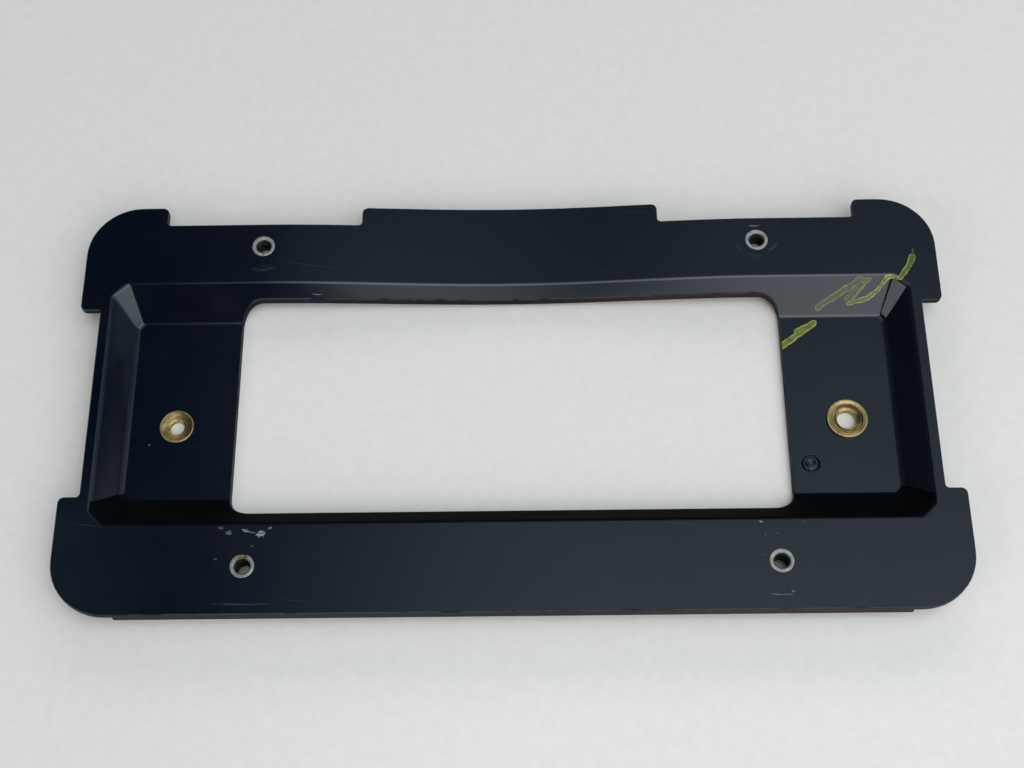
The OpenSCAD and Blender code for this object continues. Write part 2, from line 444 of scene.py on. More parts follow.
    def gate_grooves(self, p: Array) -> Array:
        """Where the moulding's gate was: a round groove, a raised ring in it and a small pit off its middle.

        Each is a cosine wave across, as deep as its share of the gate's depth and twice its width wide. The
        groove widens towards the lower right.

        Args:
            p: points in plan, one a row.

        Returns:
            The depth at each.
        """
        s = self.s
        arm = p - self.gate
        away = np.linalg.norm(arm, axis=1)
        lean = (arm[:, 0] * 0.64 - arm[:, 1] * 0.77) / np.maximum(away, 1e-9)
        wide = (0.34 + 0.22 * np.clip(lean, 0.0, 1.0)) * MM
        pit = np.linalg.norm(arm + np.array([0.25, 0.1]) * MM, axis=1)

        def wave(distance: Array, width: Array | float) -> Array:
            """One where the distance is nothing, falling to nothing at the width."""
            return (np.cos(np.clip(distance / width, -1.0, 1.0) * math.pi) + 1) / 2

        groove = wave(away - s.gate_r, wide)
        ring = wave(away - s.gate_r * 0.5, 0.5 * MM)
        return s.gate_depth * (groove - 0.35 * ring + 0.7 * wave(pit, 0.45 * MM))

    def normals(self, p: Array, under: bool = False) -> Array:
        """The unit normals of a face, from its height a hair to each side of a place.

        Args:
            p: points in plan, one a row.
            under: whether this is the underside, whose normals point down.

        Returns:
            The normals.
        """
        hair = 0.02 * MM
        step = np.eye(2) * hair
        slope = [(self.height(p + d, under) - self.height(p - d, under)) / (2 * hair) for d in step]
        found = np.stack([-slope[0], -slope[1], np.ones(len(p))], 1)
        found /= np.linalg.norm(found, axis=1, keepdims=True)
        return -found if under else found


class Skin:
    """Gathers surfaces with their own normals into one welded mesh."""

    WELD = 1e-6

    def __init__(self) -> None:
        """Starts with nothing."""
        self.points: list[Array] = []
        self.normals: list[Array] = []
        self.wear: list[Array] = []
        self.uv: list[Array] = []
        self.faces: list[Array] = []
        self.slots: list[Array] = []
        self.count = 0

    def add(self, points: Array, normals: Array, faces: Array, slot: Array | int = 0,
            wear: Array | None = None, uv: Array | None = None) -> None:
        """Adds triangles or quads, each turned to agree with the normals of its points.

        Args:
            points: places, one a row.
            normals: their unit normals.
            faces: rows of three or four places each.
            slot: the material slot of all the faces, or of each.
            wear: how much each point lies on an arris, from 0 to 1, or from 0 to -1 down a bore, where it
                gives painted shade.
            uv: a place on the surface's own map for each point.
        """
        a, b, c = (points[faces[:, k]] for k in (0, 1, 2))
        facing = np.einsum("ij,ij->i", np.cross(b - a, c - a), normals[faces].mean(1))
        faces = np.where(facing[:, None] < 0, faces[:, ::-1], faces)
        self.points.append(points)
        self.normals.append(normals)
        self.wear.append(np.zeros(len(points)) if wear is None else wear)
        self.uv.append(np.zeros((len(points), 2)) if uv is None else uv)
        self.faces.append(faces + self.count)
        self.slots.append(np.broadcast_to(slot, len(faces)))
        self.count += len(points)

    def add_grid(self, points: Array, normals: Array, slot: int, wear: Array) -> None:
        """Adds a grid of rows by columns, whose columns close into a ring.

        Args:
            points: rows by columns by 3.
            normals: the same shape.
            slot: the material slot of the faces.
            wear: one value a row.
        """
        rows, columns = points.shape[:2]
        here = np.arange(rows * columns).reshape(rows, columns)
        side = np.roll(here, -1, 1)
        faces = np.stack([here[:-1], side[:-1], side[1:], here[1:]], -1).reshape(-1, 4)
        worn = np.repeat(wear, columns)
        across, along = np.meshgrid(np.linspace(0, 1, columns), np.linspace(0, 1, rows))
        uv = np.stack([across, along], -1).reshape(-1, 2)
        self.add(points.reshape(-1, 3), normals.reshape(-1, 3), faces, slot, worn, uv)

    def make(self, name: str) -> bpy.types.Object:
        """Welds what was added and makes the object, at the origin, with its smooth normals.

        Args:
            name: the object's name.

        Returns:
            The new object.
        """
        mesh = bpy.data.meshes.new(name)
        faces = [row for block in self.faces for row in block.tolist()]
        mesh.from_pydata(np.concatenate(self.points).tolist(), [], faces)
        mesh.polygons.foreach_set("material_index", np.concatenate(self.slots).astype(np.int32))
        for title, kind, values in (
            ("arris", "FLOAT", self.wear), ("aim", "FLOAT_VECTOR", self.normals), ("lay", "FLOAT2", self.uv),
        ):
            layer = mesh.attributes.new(title, kind, "POINT")
            key = "value" if kind == "FLOAT" else "vector"
            layer.data.foreach_set(key, np.concatenate(values).astype(np.float32).ravel())
        form = bmesh.new()
        form.from_mesh(mesh)
        bmesh.ops.remove_doubles(form, verts=form.verts, dist=self.WELD)
        form.to_mesh(mesh)
        form.free()
        mesh.polygons.foreach_set("use_smooth", np.ones(len(mesh.polygons), bool))
        aim = np.zeros(len(mesh.vertices) * 3, np.float32)
        mesh.attributes["aim"].data.foreach_get("vector", aim)
        mesh.normals_split_custom_set_from_vertices(aim.reshape(-1, 3).tolist())
        mesh.attributes.remove(mesh.attributes["aim"])
        mesh.update()
        made = bpy.data.objects.new(name, mesh)
        bpy.context.scene.collection.objects.link(made)
        return made


@dataclass(frozen=True)
class Row:
    """One row of an edge's profile: how far out of the outline, how high, and its normals."""

    out: float
    z: Array | float
    aim: Array
    wear: float = 0.0


def quarter(steps: int) -> Array:
    """Angles from 0 to a quarter turn."""
    return np.linspace(0.0, math.pi / 2, steps + 1)


class Tray:
    """The moulded tray: two faces cut by the same outlines, and the edges that join them."""

    # The last two slots are copies of the plastic with painted shade, one for the right wall and one for the
    # lower wall
    FACE, EDGE, DULL, DEEP = 0, 1, 2, 3
    # Shares of the way down at which the wall has a ring of points, and the share that is still level
    LEVELS, LEVEL = np.linspace(0.0, 1.0, 19), 1e-6
    # Rings of points round the gate's mark, and the radius inside which there are no others
    GATE_RINGS, GATE_GROUND = np.linspace(0.3, 3.9, 37) * MM, 5.0 * MM
    # Distance between points on the face and on the back, and from a ring of points to an edge
    FACE_STEP, BACK_STEP, CLEAR = 2.6 * MM, 4.0 * MM, 0.45 * MM
    # Points round an insert's hole and round a bush's
    SCREW_STEPS, BUSH_STEPS = 64, 72
    # Softness of a boss's foot and rim
    BOSS_SOFT = 0.5 * MM
    # Shares of the way down between which a wall gets a copy of the plastic with painted shade, and the slope
    # of a facet's side
    SHADED, FACET = (0.1, 0.999), math.tan(math.radians(22.5))

    def __init__(self, sizes: TraySizes) -> None:
        """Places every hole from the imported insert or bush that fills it.

        Args:
            sizes: the driving sizes.
        """
        self.s = sizes
        self.form = TrayForm(sizes)
        self.skin = Skin()
        self.outline = self.form.outline()
        self.window = self.form.window()
        self.screws = [middle_of(f"insert_{a}_{b}") for a in ("upper", "lower") for b in ("left", "right")]
        low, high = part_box("insert_upper_left")
        self.insert_r = (high.x - low.x) / 2
        self.insert_low = low.z
        self.bushes = []
        for side, bore_r in BORE_R.items():
            node = bush_node(side)
            low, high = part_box(node)
            self.bushes.append((middle_of(node), (high.x - low.x) / 2, bore_r + sizes.barrel_wall))

    def places(self, edges: list[Loop], under: bool, spacing: float) -> tuple[Array, list[tuple[int, int]]]:
        """The points that a face is drawn through, and the lines that its triangles keep to.

        Args:
            edges: the outlines that bound the face, the outer one first.
            under: whether this is the underside.
            spacing: the distance between points on flat ground.

        Returns:
            The points, and the lines as pairs of them.
        """
        form = self.form
        rings = [form.ring_loop(u, under).points for u in self.LEVELS]
        if not under:
            rings += [circle_loop(form.gate, r, 80).points for r in self.GATE_RINGS]
        bounds = drawn_in(edges, self.CLEAR)
        points, lines, count = [], [], 0
        for chain, fixed in [(edge.points, True) for edge in edges] + [(ring, False) for ring in rings]:
            keep = np.full(len(chain), True) if fixed else within(bounds, chain)
            place = np.cumsum(keep) - 1 + count
            ahead = np.roll(place, -1)
            both = keep & np.roll(keep, -1)
            lines.append(np.stack([place[both], ahead[both]], 1))
            points.append(chain[keep])
            count += int(keep.sum())
        nx, ny = (np.ceil(2 * form.half / spacing)).astype(int)
        gx, gy = np.meshgrid(np.linspace(-1, 1, nx) * form.half[0], np.linspace(-1, 1, ny) * form.half[1])
        grid = np.stack([gx + (np.arange(ny) % 2)[:, None] * spacing / 2, gy], -1).reshape(-1, 2)
        keep = within(drawn_in(edges, spacing / 2), grid)
        down = form.way_down(grid, under)
        keep &= (down < self.LEVEL) | (down > 1 - self.LEVEL)
        keep &= np.linalg.norm(grid - form.gate, axis=1) > self.GATE_GROUND
        points.append(grid[keep])
        return np.concatenate(points), [tuple(row) for row in np.concatenate(lines).tolist()]

    def lay_face(self, edges: list[Loop], under: bool, spacing: float) -> None:
        """Adds the face or the underside: a triangulation of its points, lifted by the height function.

        Args:
            edges: the outlines that bound it, the outer one first.
            under: whether this is the underside.
            spacing: the distance between points on flat ground.
        """
        points, lines = self.places(edges, under, spacing)
        found = delaunay_2d_cdt(points.tolist(), lines, [], 0, 1e-9, False)
        plan = np.array([tuple(v) for v in found[0]])
        faces = np.array(found[2])
        middle = plan[faces].mean(1)
        keep = within(edges, middle)
        z = self.form.height(plan, under)
        slots = np.full(len(faces), self.FACE) if under else self.shades(middle)
        self.skin.add(np.column_stack([plan, z]), self.form.normals(plan, under), faces[keep], slots[keep])

    def shades(self, p: Array) -> Array:
        """The finish of the face over each place.

        The lower wall of the recess and its corners get a near-black, nearly matt copy of the plastic, which
        is painted shade. The right wall up to its upper facet gets a copy with dimmed reflections and a paler
        colour, which is painted shading. The rest is the plain face.

        Args:
            p: points in plan, one a row.

        Returns:
            A material slot for each.
        """
        down = self.form.way_down(p, False)
        hx, hy, radius, _ = self.form.ring(down, False)
        q = np.abs(p) - np.stack([hx - radius, hy - radius], 1)
        wall = (down > self.SHADED[0]) & (down < self.SHADED[1])
        low = wall & (p[:, 1] < 0) & (q[:, 1] > 0)
        right = wall & (p[:, 0] > 0) & (q[:, 0] > 0) & (q[:, 1] <= self.FACET * q[:, 0])
        return np.where(low, self.DEEP, np.where(right, self.DULL, self.FACE))

    def aims(self, loop: Loop, across: float, up: float, inward: bool) -> Array:
        """Normals round an outline, with a part away from the solid in plan and a part upwards.

        Args:
            loop: the outline.
            across: the part in plan.
            up: the part upwards.
            inward: whether the solid lies outside the outline, as round a hole.

        Returns:
            One unit normal a point.
        """
        away = -loop.normals if inward else loop.normals
        found = np.column_stack([away * across, np.full(len(away), up)])
        return found / math.hypot(across, up)

    def band(self, loop: Loop, rows: list[Row], slot: int) -> None:
        """Adds an edge: a profile carried round an outline.

        Args:
            loop: the outline.
            rows: the profile's rows, in order.
            slot: the material slot.
        """
        points = [
            np.column_stack([loop.moved(row.out).points, np.broadcast_to(row.z, len(loop.points))])
            for row in rows
        ]
        wear = np.array([row.wear for row in rows])
        self.skin.add_grid(np.stack(points), np.stack([row.aim for row in rows]), slot, wear)

    def arris_rows(self, loop: Loop, radius: float, inward: bool, under: bool, steps: int = 3) -> list[Row]:
        """The rows of a rounded arris from a face round to an edge.

        At an angle a, a row lies the radius times one minus sin a inside the solid, and the radius times
        one minus cos a behind the face there. Its normal goes from the face's own to the edge's.

        Args:
            loop: the outline of the edge.
            radius: the arris's radius.
            inward: whether the solid lies outside the outline, as round a hole.
            under: whether the face is the underside.
            steps: pieces in the arc.

        Returns:
            The rows, from the face to the edge.
        """
        side = -1.0 if under else 1.0
        level = self.aims(loop, 1.0, 0.0, inward)
        rows = []
        for a in quarter(steps):
            out = (radius if inward else -radius) * (1 - math.sin(a))
            plan = loop.moved(out).points
            aim = level * math.sin(a) + self.form.normals(plan, under) * math.cos(a)
            aim /= np.linalg.norm(aim, axis=1, keepdims=True)
            wear = math.sin(2 * a) ** 0.5 if 0 < a < math.pi / 2 else 0.0
            z = self.form.height(plan, under) - side * radius * (1 - math.cos(a))
            rows.append(Row(out, z, aim, wear))
        return rows

    def edge_outer(self) -> None:
        """The outer edge, with the stiffening lip under the bottom one."""
        s, loop = self.s, self.outline
        rows = self.arris_rows(loop, s.arris, False, False)
        inner = loop.moved(-s.lip_t)
        base = self.form.height(inner.points, True)
        bottom = loop.points[:, 1] < MM - self.form.half[1]
        lip = bottom & (np.abs(loop.points[:, 0]) < self.form.half[0] - s.lip_end - 0.01 * MM)
        low = base - lip * (s.lip_h - s.sheet)
        for a in quarter(3):
            aim = self.aims(loop, math.cos(a), -math.sin(a), False)
            out, rise = -s.arris * (1 - math.cos(a)), s.arris * (1 - math.sin(a))
            rows.append(Row(out, low + rise, aim, 0.6 * math.sin(2 * a)))
        self.band(loop, rows, self.EDGE)
        soft = np.where(lip, s.arris, 0.0)
        down = self.aims(loop, 0.0, -1.0, False)
        back = np.where(lip[:, None], self.aims(loop, 1.0, 0.0, True), down)
        under = [
            Row(-s.arris, low, down), Row(-s.lip_t + s.arris, low, down), Row(-s.lip_t, low + soft, back),
            Row(-s.lip_t, base, back),
        ]
        self.band(loop, under, self.FACE)

    def edge_window(self) -> None:
        """The cut face of the window, from the rounded top arris to the rounded bottom one."""
        top = self.arris_rows(self.window, self.s.arris, True, False)
        low = self.arris_rows(self.window, self.s.arris, True, True)
        self.band(self.window, top + low[::-1], self.EDGE)

    def line_hole(self, loop: Loop, profile: list[tuple]) -> None:
        """Lines a hole from its fine arris down.

        Args:
            loop: the outline of the hole.
            profile: rows of how far out, how high, and the normal's parts across and up.
        """
        rows = self.arris_rows(loop, self.s.fine_arris, True, False, 2)
        rows += [Row(out, z, self.aims(loop, across, up, True)) for out, z, across, up in profile]
        self.band(loop, rows, self.FACE)

    def edge_screws(self) -> None:
        """The four holes for the inserts, and the bosses that stand behind the sheet round them."""
        s, soft, low = self.s, self.BOSS_SOFT, self.insert_low
        wall = s.boss_r - self.insert_r
        for centre in self.screws:
            loop = circle_loop(centre, self.insert_r, self.SCREW_STEPS)
            root = self.form.height(loop.moved(wall + soft).points, True)
            profile = [
                (0.0, low, 1.0, 0.0), (0.0, low, 0.0, -1.0), (wall - soft, low, 0.0, -1.0),
                (wall - 0.3 * soft, low + 0.3 * soft, -0.7, -0.7), (wall, low + soft, -1.0, 0.0),
                (wall, root - soft, -1.0, 0.0), (wall + 0.3 * soft, root - 0.3 * soft, -0.7, -0.7),
                (wall + soft, root, 0.0, -1.0),
            ]
            self.line_hole(loop, profile)

    def edge_bushes(self) -> None:
        """The stepped seats of the two bushes in the recess's floor."""
        s = self.s
        for centre, flange_r, barrel_r in self.bushes:
            loop = circle_loop(centre, flange_r, self.BUSH_STEPS)
            shelf, gap = self.form.floor_z - s.seat_depth, barrel_r - flange_r
            profile = [
                (0.0, shelf, 1.0, 0.0), (0.0, shelf, 0.0, 1.0), (gap, shelf, 0.0, 1.0),
                (gap, shelf, 1.0, 0.0), (gap, s.fine_arris, 1.0, 0.0), (gap + s.fine_arris, 0.0, 0.0, -1.0),
            ]
            self.line_hole(loop, profile)

    def build(self) -> bpy.types.Object:
        """Makes the whole tray.

        Returns:
            The tray's object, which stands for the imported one.
        """
        s = self.s
        top = [self.outline.moved(-s.arris), self.window.moved(s.arris)]
        top += [circle_loop(c, self.insert_r + s.fine_arris, self.SCREW_STEPS) for c in self.screws]
        top += [circle_loop(c, flange + s.fine_arris, self.BUSH_STEPS) for c, flange, _ in self.bushes]
        low = [self.outline.moved(-s.lip_t), self.window.moved(s.arris)]
        low += [circle_loop(c, s.boss_r + self.BOSS_SOFT, self.SCREW_STEPS) for c in self.screws]
        low += [circle_loop(c, barrel + s.fine_arris, self.BUSH_STEPS) for c, _, barrel in self.bushes]
        self.lay_face(top, False, self.FACE_STEP)
        self.lay_face(low, True, self.BACK_STEP)
        self.edge_outer()
        self.edge_window()
        self.edge_screws()
        self.edge_bushes()
        return self.skin.make("moulded_tray")


def revolve(name: str, centre: Array, radius: Array, height: Array, wear: Array) -> bpy.types.Object:
    """A closed turned form: each row is a ring whose radius and height are given round the circle.

    The normals are the cross product of the grid's two tangents, worked out by central differences.

    Args:
        name: the object's name.
        centre: the axis in plan.
        radius: rows by columns, the radii.
        height: the same shape, the heights.
        wear: how much each row lies on an arris.

    Returns:
        The new object.
    """
    angle = np.linspace(0.0, 2.0 * math.pi, radius.shape[1], endpoint=False)
    points = np.stack([centre[0] + radius * np.cos(angle), centre[1] + radius * np.sin(angle), height], -1)
    along = np.roll(points, -1, 0) - np.roll(points, 1, 0)
    round_ = np.roll(points, -1, 1) - np.roll(points, 1, 1)
    normals = np.cross(round_, along)
    normals /= np.maximum(np.linalg.norm(normals, axis=2, keepdims=True), 1e-12)
    skin = Skin()
    points, normals, wear = (np.concatenate([a, a[:1]]) for a in (points, normals, wear))
    skin.add_grid(points, normals, 0, wear)
    return skin.make(name)


@dataclass(frozen=True)
class Ding:
    """A dent or burr on an insert's rim: its angle and width in degrees, and how it moves the metal."""

    angle: float
    spread: float
    lift: float
    push: float


@dataclass
class Insert:
    """A steel insert with a real thread, flush with the tray's face."""

    node: str
    dings: tuple[Ding, ...] = ()
    pitch: float = 1.0 * MM
    minor_r: float = 2.5 * MM
    thread_h: float = 0.5 * MM
    mouth: float = 0.55 * MM
    columns: int = 96
    rows_a_turn: int = 10
    groove: float = 0.6 * MM

    def build(self) -> bpy.types.Object:
        """Turns the insert: an outer wall with its locking groove, a rim, a mouth and the thread.

        The thread's radius is the minor one plus the thread's height times a triangle wave of the height
        over the pitch plus the angle over a turn. The wave is cut flat at its root and fades in over the
        first turn.

        Returns:
            The insert's object.
        """
        low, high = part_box(self.node)
        outer, top, length = (high.x - low.x) / 2, high.z, high.z - low.z
        angle = np.linspace(0.0, 2.0 * math.pi, self.columns, endpoint=False)
        soft = 0.12 * MM
        third = length / 3
        wall = [
            (outer - soft, low.z), (outer, low.z + soft), (outer, low.z + third),
            (outer - self.groove, low.z + third), (outer - self.groove, low.z + 2 * third),
            (outer, low.z + 2 * third), (outer, top - soft),
        ]
        rim = [(outer - soft * (1 - math.cos(a)), top - soft * (1 - math.sin(a))) for a in quarter(3)[1:]]
        inner = self.minor_r + self.thread_h
        ring = [(outer + (inner - outer) * k, top) for k in (0.25, 0.5, 0.75, 0.97)]
        mouth = [(inner - self.thread_h * k, top - self.mouth * k ** 0.8) for k in (0.1, 0.4, 0.7, 1.0)]
        fixed = np.array(wall + rim + ring + mouth)
        count = int(self.rows_a_turn * (length - self.mouth) / self.pitch)
        z = np.linspace(top - self.mouth, low.z, count + 1)[1:]
        turn = z[:, None] / self.pitch + angle / (2.0 * math.pi)
        wave = 1.0 - np.abs(2.0 * (turn % 1.0) - 1.0)
        depth = self.thread_h * np.minimum(1.0, 1.35 * wave)
        fade = np.minimum(1.0, (top - self.mouth - z) / self.pitch)[:, None]
        radius = np.concatenate([np.repeat(fixed[:, :1], self.columns, 1), self.minor_r + depth * fade])
        level = np.repeat(z[:, None], self.columns, 1)
        height = np.concatenate([np.repeat(fixed[:, 1:], self.columns, 1), level])
        at_rim = np.exp(-(((radius - outer + 0.5 * MM) / (0.7 * MM)) ** 2)) * (height > top - 0.6 * MM)
        for ding in self.dings:
            off = (angle - math.radians(ding.angle) + math.pi) % (2 * math.pi) - math.pi
            near = np.exp(-((off / math.radians(ding.spread)) ** 2))
            rough = 1.0 + 0.5 * np.sin(angle * 23.0) * np.sin(angle * 9.0 + 1.0)
            height = height + ding.lift * near * rough * at_rim
            radius = radius + ding.push * near * rough * at_rim
        # Values below zero on the mouth and the thread give painted shade down the bore
        wear = np.concatenate([
            np.zeros(len(wall)), np.ones(len(rim)), np.zeros(len(ring)), -np.linspace(0.1, 0.8, len(mouth)),
            -np.ones(len(z)),
        ])
        return revolve(self.node + "_turned", middle_of(self.node), radius, height, wear)


@dataclass
class Bush:
    """A flanged brass bush with a dished, stepped face."""

    side: Side
    steps: tuple[tuple[float, float], ...]
    rim_w: float = 0.5 * MM
    barrel_wall: float = TraySizes.barrel_wall
    flange_t: float = 1.3 * MM
    columns: int = 144

    def build(self) -> bpy.types.Object:
        """Turns the bush from its profile, whose corners are eased by short arcs.

        Returns:
            The bush's object.
        """
        node = bush_node(self.side)
        low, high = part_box(node)
        flange, rim = (high.x - low.x) / 2, high.z
        bore_r = BORE_R[self.side]
        barrel = bore_r + self.barrel_wall
        under = rim - self.flange_t
        corners = [(barrel, low.z), (barrel, under), (flange, under), (flange, rim)]
        corners += [(flange - self.rim_w, rim)] + [(r, rim - deep) for r, deep in self.steps]
        corners += [(bore_r, rim - self.steps[-1][1] - 0.25 * MM), (bore_r, low.z)]
        radii = [0.1, 0.1, 0.1, 0.22, 0.12] + [0.12] * len(self.steps) + [0.1, 0.1]
        loop = round_corners(np.array(corners), np.array(radii) * MM, 4).refined(0.35 * MM)
        profile = loop.points
        radius = np.repeat(profile[:, :1], self.columns, 1)
        height = np.repeat(profile[:, 1:], self.columns, 1)
        edge = np.exp(-(((profile[:, 0] - flange) / (0.3 * MM)) ** 2)) * (profile[:, 1] > rim - 0.4 * MM)
        return revolve(node + "_turned", middle_of(node), radius, height, edge)


class Shader:
    """Adds and links the nodes of one shader tree."""

    def __init__(self, tree: bpy.types.NodeTree) -> None:
        """Works on that tree."""
        self.tree = tree

    def feed(self, socket: bpy.types.NodeSocket, value: Feed) -> None:
        """Links a socket to another, or sets it to a plain value.

        Args:
            socket: the socket that is fed.
            value: the other socket, or the value.
        """
        if isinstance(value, bpy.types.NodeSocket):
            self.tree.links.new(value, socket)
        else:
            socket.default_value = value

    def node(self, kind: str, inputs: dict[str | int, Feed] | None = None,
             **settings: object) -> bpy.types.Node:
        """Adds a node, with its settings and inputs.

        Args:
            kind: the node's type.
            inputs: values or sockets by the input's name or number.
            settings: the node's own settings.

        Returns:
            The node.
        """
        made = self.tree.nodes.new(kind)
        for key, value in settings.items():
            setattr(made, key, value)
        for key, value in (inputs or {}).items():
            self.feed(made.inputs[key], value)
        return made

    def math(self, operation: str, *values: Feed, clamp: bool = False) -> bpy.types.NodeSocket:
        """A Math node's result."""
        inputs = dict(enumerate(values))
        return self.node("ShaderNodeMath", inputs, operation=operation, use_clamp=clamp).outputs[0]

    def plus(self, base: Feed, value: Feed, share: Feed) -> bpy.types.NodeSocket:
        """A value plus a share of another."""
        return self.math("ADD", base, self.math("MULTIPLY", value, share))

    def vector(self, operation: str, *values: Feed, out: str = "Vector") -> bpy.types.NodeSocket:
        """A Vector Math node's result."""
        inputs = dict(enumerate(values))
        return self.node("ShaderNodeVectorMath", inputs, operation=operation).outputs[out]

    def scaled(self, value: Feed, by: Feed) -> bpy.types.NodeSocket:
        """A vector or a colour, times a number."""
        return self.node("ShaderNodeVectorMath", {0: value, "Scale": by}, operation="SCALE").outputs[0]

    def arm(self, start: Feed, end: Feed) -> bpy.types.NodeSocket:
        """The way in plan from one place to another."""
        return self.vector("MULTIPLY", self.vector("SUBTRACT", end, start), (1.0, 1.0, 0.0))

    def parts(self, where: Feed) -> list[bpy.types.NodeSocket]:
        """The three parts of a vector."""
        return list(self.node("ShaderNodeSeparateXYZ", {0: where}).outputs)

    def coordinate(self, kind: str = "Object") -> bpy.types.NodeSocket:
        """The place on the object, or another texture coordinate."""
        return self.node("ShaderNodeTexCoord").outputs[kind]

    def attribute(self, name: str, out: str = "Fac") -> bpy.types.NodeSocket:
        """An attribute of the mesh."""
        return self.node("ShaderNodeAttribute", attribute_name=name).outputs[out]

    def between(self, value: Feed, low: Feed, high: Feed, to_low: Feed = 0.0,
                to_high: Feed = 1.0) -> bpy.types.NodeSocket:
        """A value carried smoothly from one range to another, and held at its ends."""
        inputs = {"Value": value, "From Min": low, "From Max": high, "To Min": to_low, "To Max": to_high}
        return self.node("ShaderNodeMapRange", inputs, interpolation_type="SMOOTHSTEP").outputs["Result"]

    def mix(self, share: Feed, first: Feed, second: Feed) -> bpy.types.NodeSocket:
        """Two colours mixed by a share.

        Args:
            share: how much of the second colour, from 0 to 1.
            first: the first colour.
            second: the second colour.

        Returns:
            The mixed colour.
        """
        made = self.node("ShaderNodeMix", data_type="RGBA")
        for key, value in (("Factor_Float", share), ("A_Color", first), ("B_Color", second)):
            self.feed(next(x for x in made.inputs if x.identifier == key), value)
        return next(x for x in made.outputs if x.identifier == "Result_Color")

    def noise(self, where: Feed, scale: float, detail: float = 3.0, rough: float = 0.5,
              w: float = 0.0) -> bpy.types.NodeSocket:
        """The value of a noise that has a fourth direction, from 0 to 1."""
        inputs = {"Vector": where, "Scale": scale, "Detail": detail, "Roughness": rough, "W": w}
        return self.node("ShaderNodeTexNoise", inputs, noise_dimensions="4D").outputs["Fac"]

    def ripple(self, where: Feed, scale: Feed, detail: float, out: str = "Fac") -> bpy.types.NodeSocket:
        """A plain noise texture's value or colour, at a scale that may be a socket."""
        inputs = {"Vector": where, "Scale": scale, "Detail": detail}
        return self.node("ShaderNodeTexNoise", inputs).outputs[out]

    def turned(self, where: Feed, angle: Feed) -> bpy.types.NodeSocket:
        """A vector turned about Z."""
        inputs = {"Vector": where, "Angle": angle}
        return self.node("ShaderNodeVectorRotate", inputs, rotation_type="Z_AXIS").outputs[0]

    def group(self, tree: bpy.types.NodeTree, **values: Feed) -> bpy.types.NodeSocket:
        """Places a node group.

        Args:
            tree: the group.
            values: values or sockets by the input's name, in small letters with underscores.

        Returns:
            The group's one output.
        """
        made = self.node("ShaderNodeGroup", node_tree=tree)
        for key, value in values.items():
            self.feed(made.inputs[key.replace("_", " ").capitalize()], value)
        return made.outputs[0]

    def dress(self, skin: bpy.types.Node, colour: Feed, rough: Feed, relief: Feed, strength: float,
              deep: float) -> None:
        """Feeds a shader its colour, its roughness and its relief.

        Args:
            skin: the shader.
            colour: its colour.
            rough: its roughness.
            relief: the height of its fine relief.
            strength: how strong the relief is.
            deep: how deep the relief is, in metres.
        """
        bump = self.node("ShaderNodeBump", {"Height": relief, "Strength": strength, "Distance": deep})
        for key, value in (("Base Color", colour), ("Roughness", rough), ("Normal", bump.outputs[0])):
            self.feed(skin.inputs[key], value)


def rgb(red: float, green: float, blue: float) -> tuple[float, float, float, float]:
    """A linear colour from its screen values.

    Args:
        red: red, from 0 to 255.
        green: green, from 0 to 255.
        blue: blue, from 0 to 255.

    Returns:
        The colour, with an alpha of one.
    """
    def linear(c: float) -> float:
        """One channel, from the screen's curve to light."""
        c /= 255.0
        return c / 12.92 if c <= 0.04045 else ((c + 0.055) / 1.055) ** 2.4
    return (linear(red), linear(green), linear(blue), 1.0)


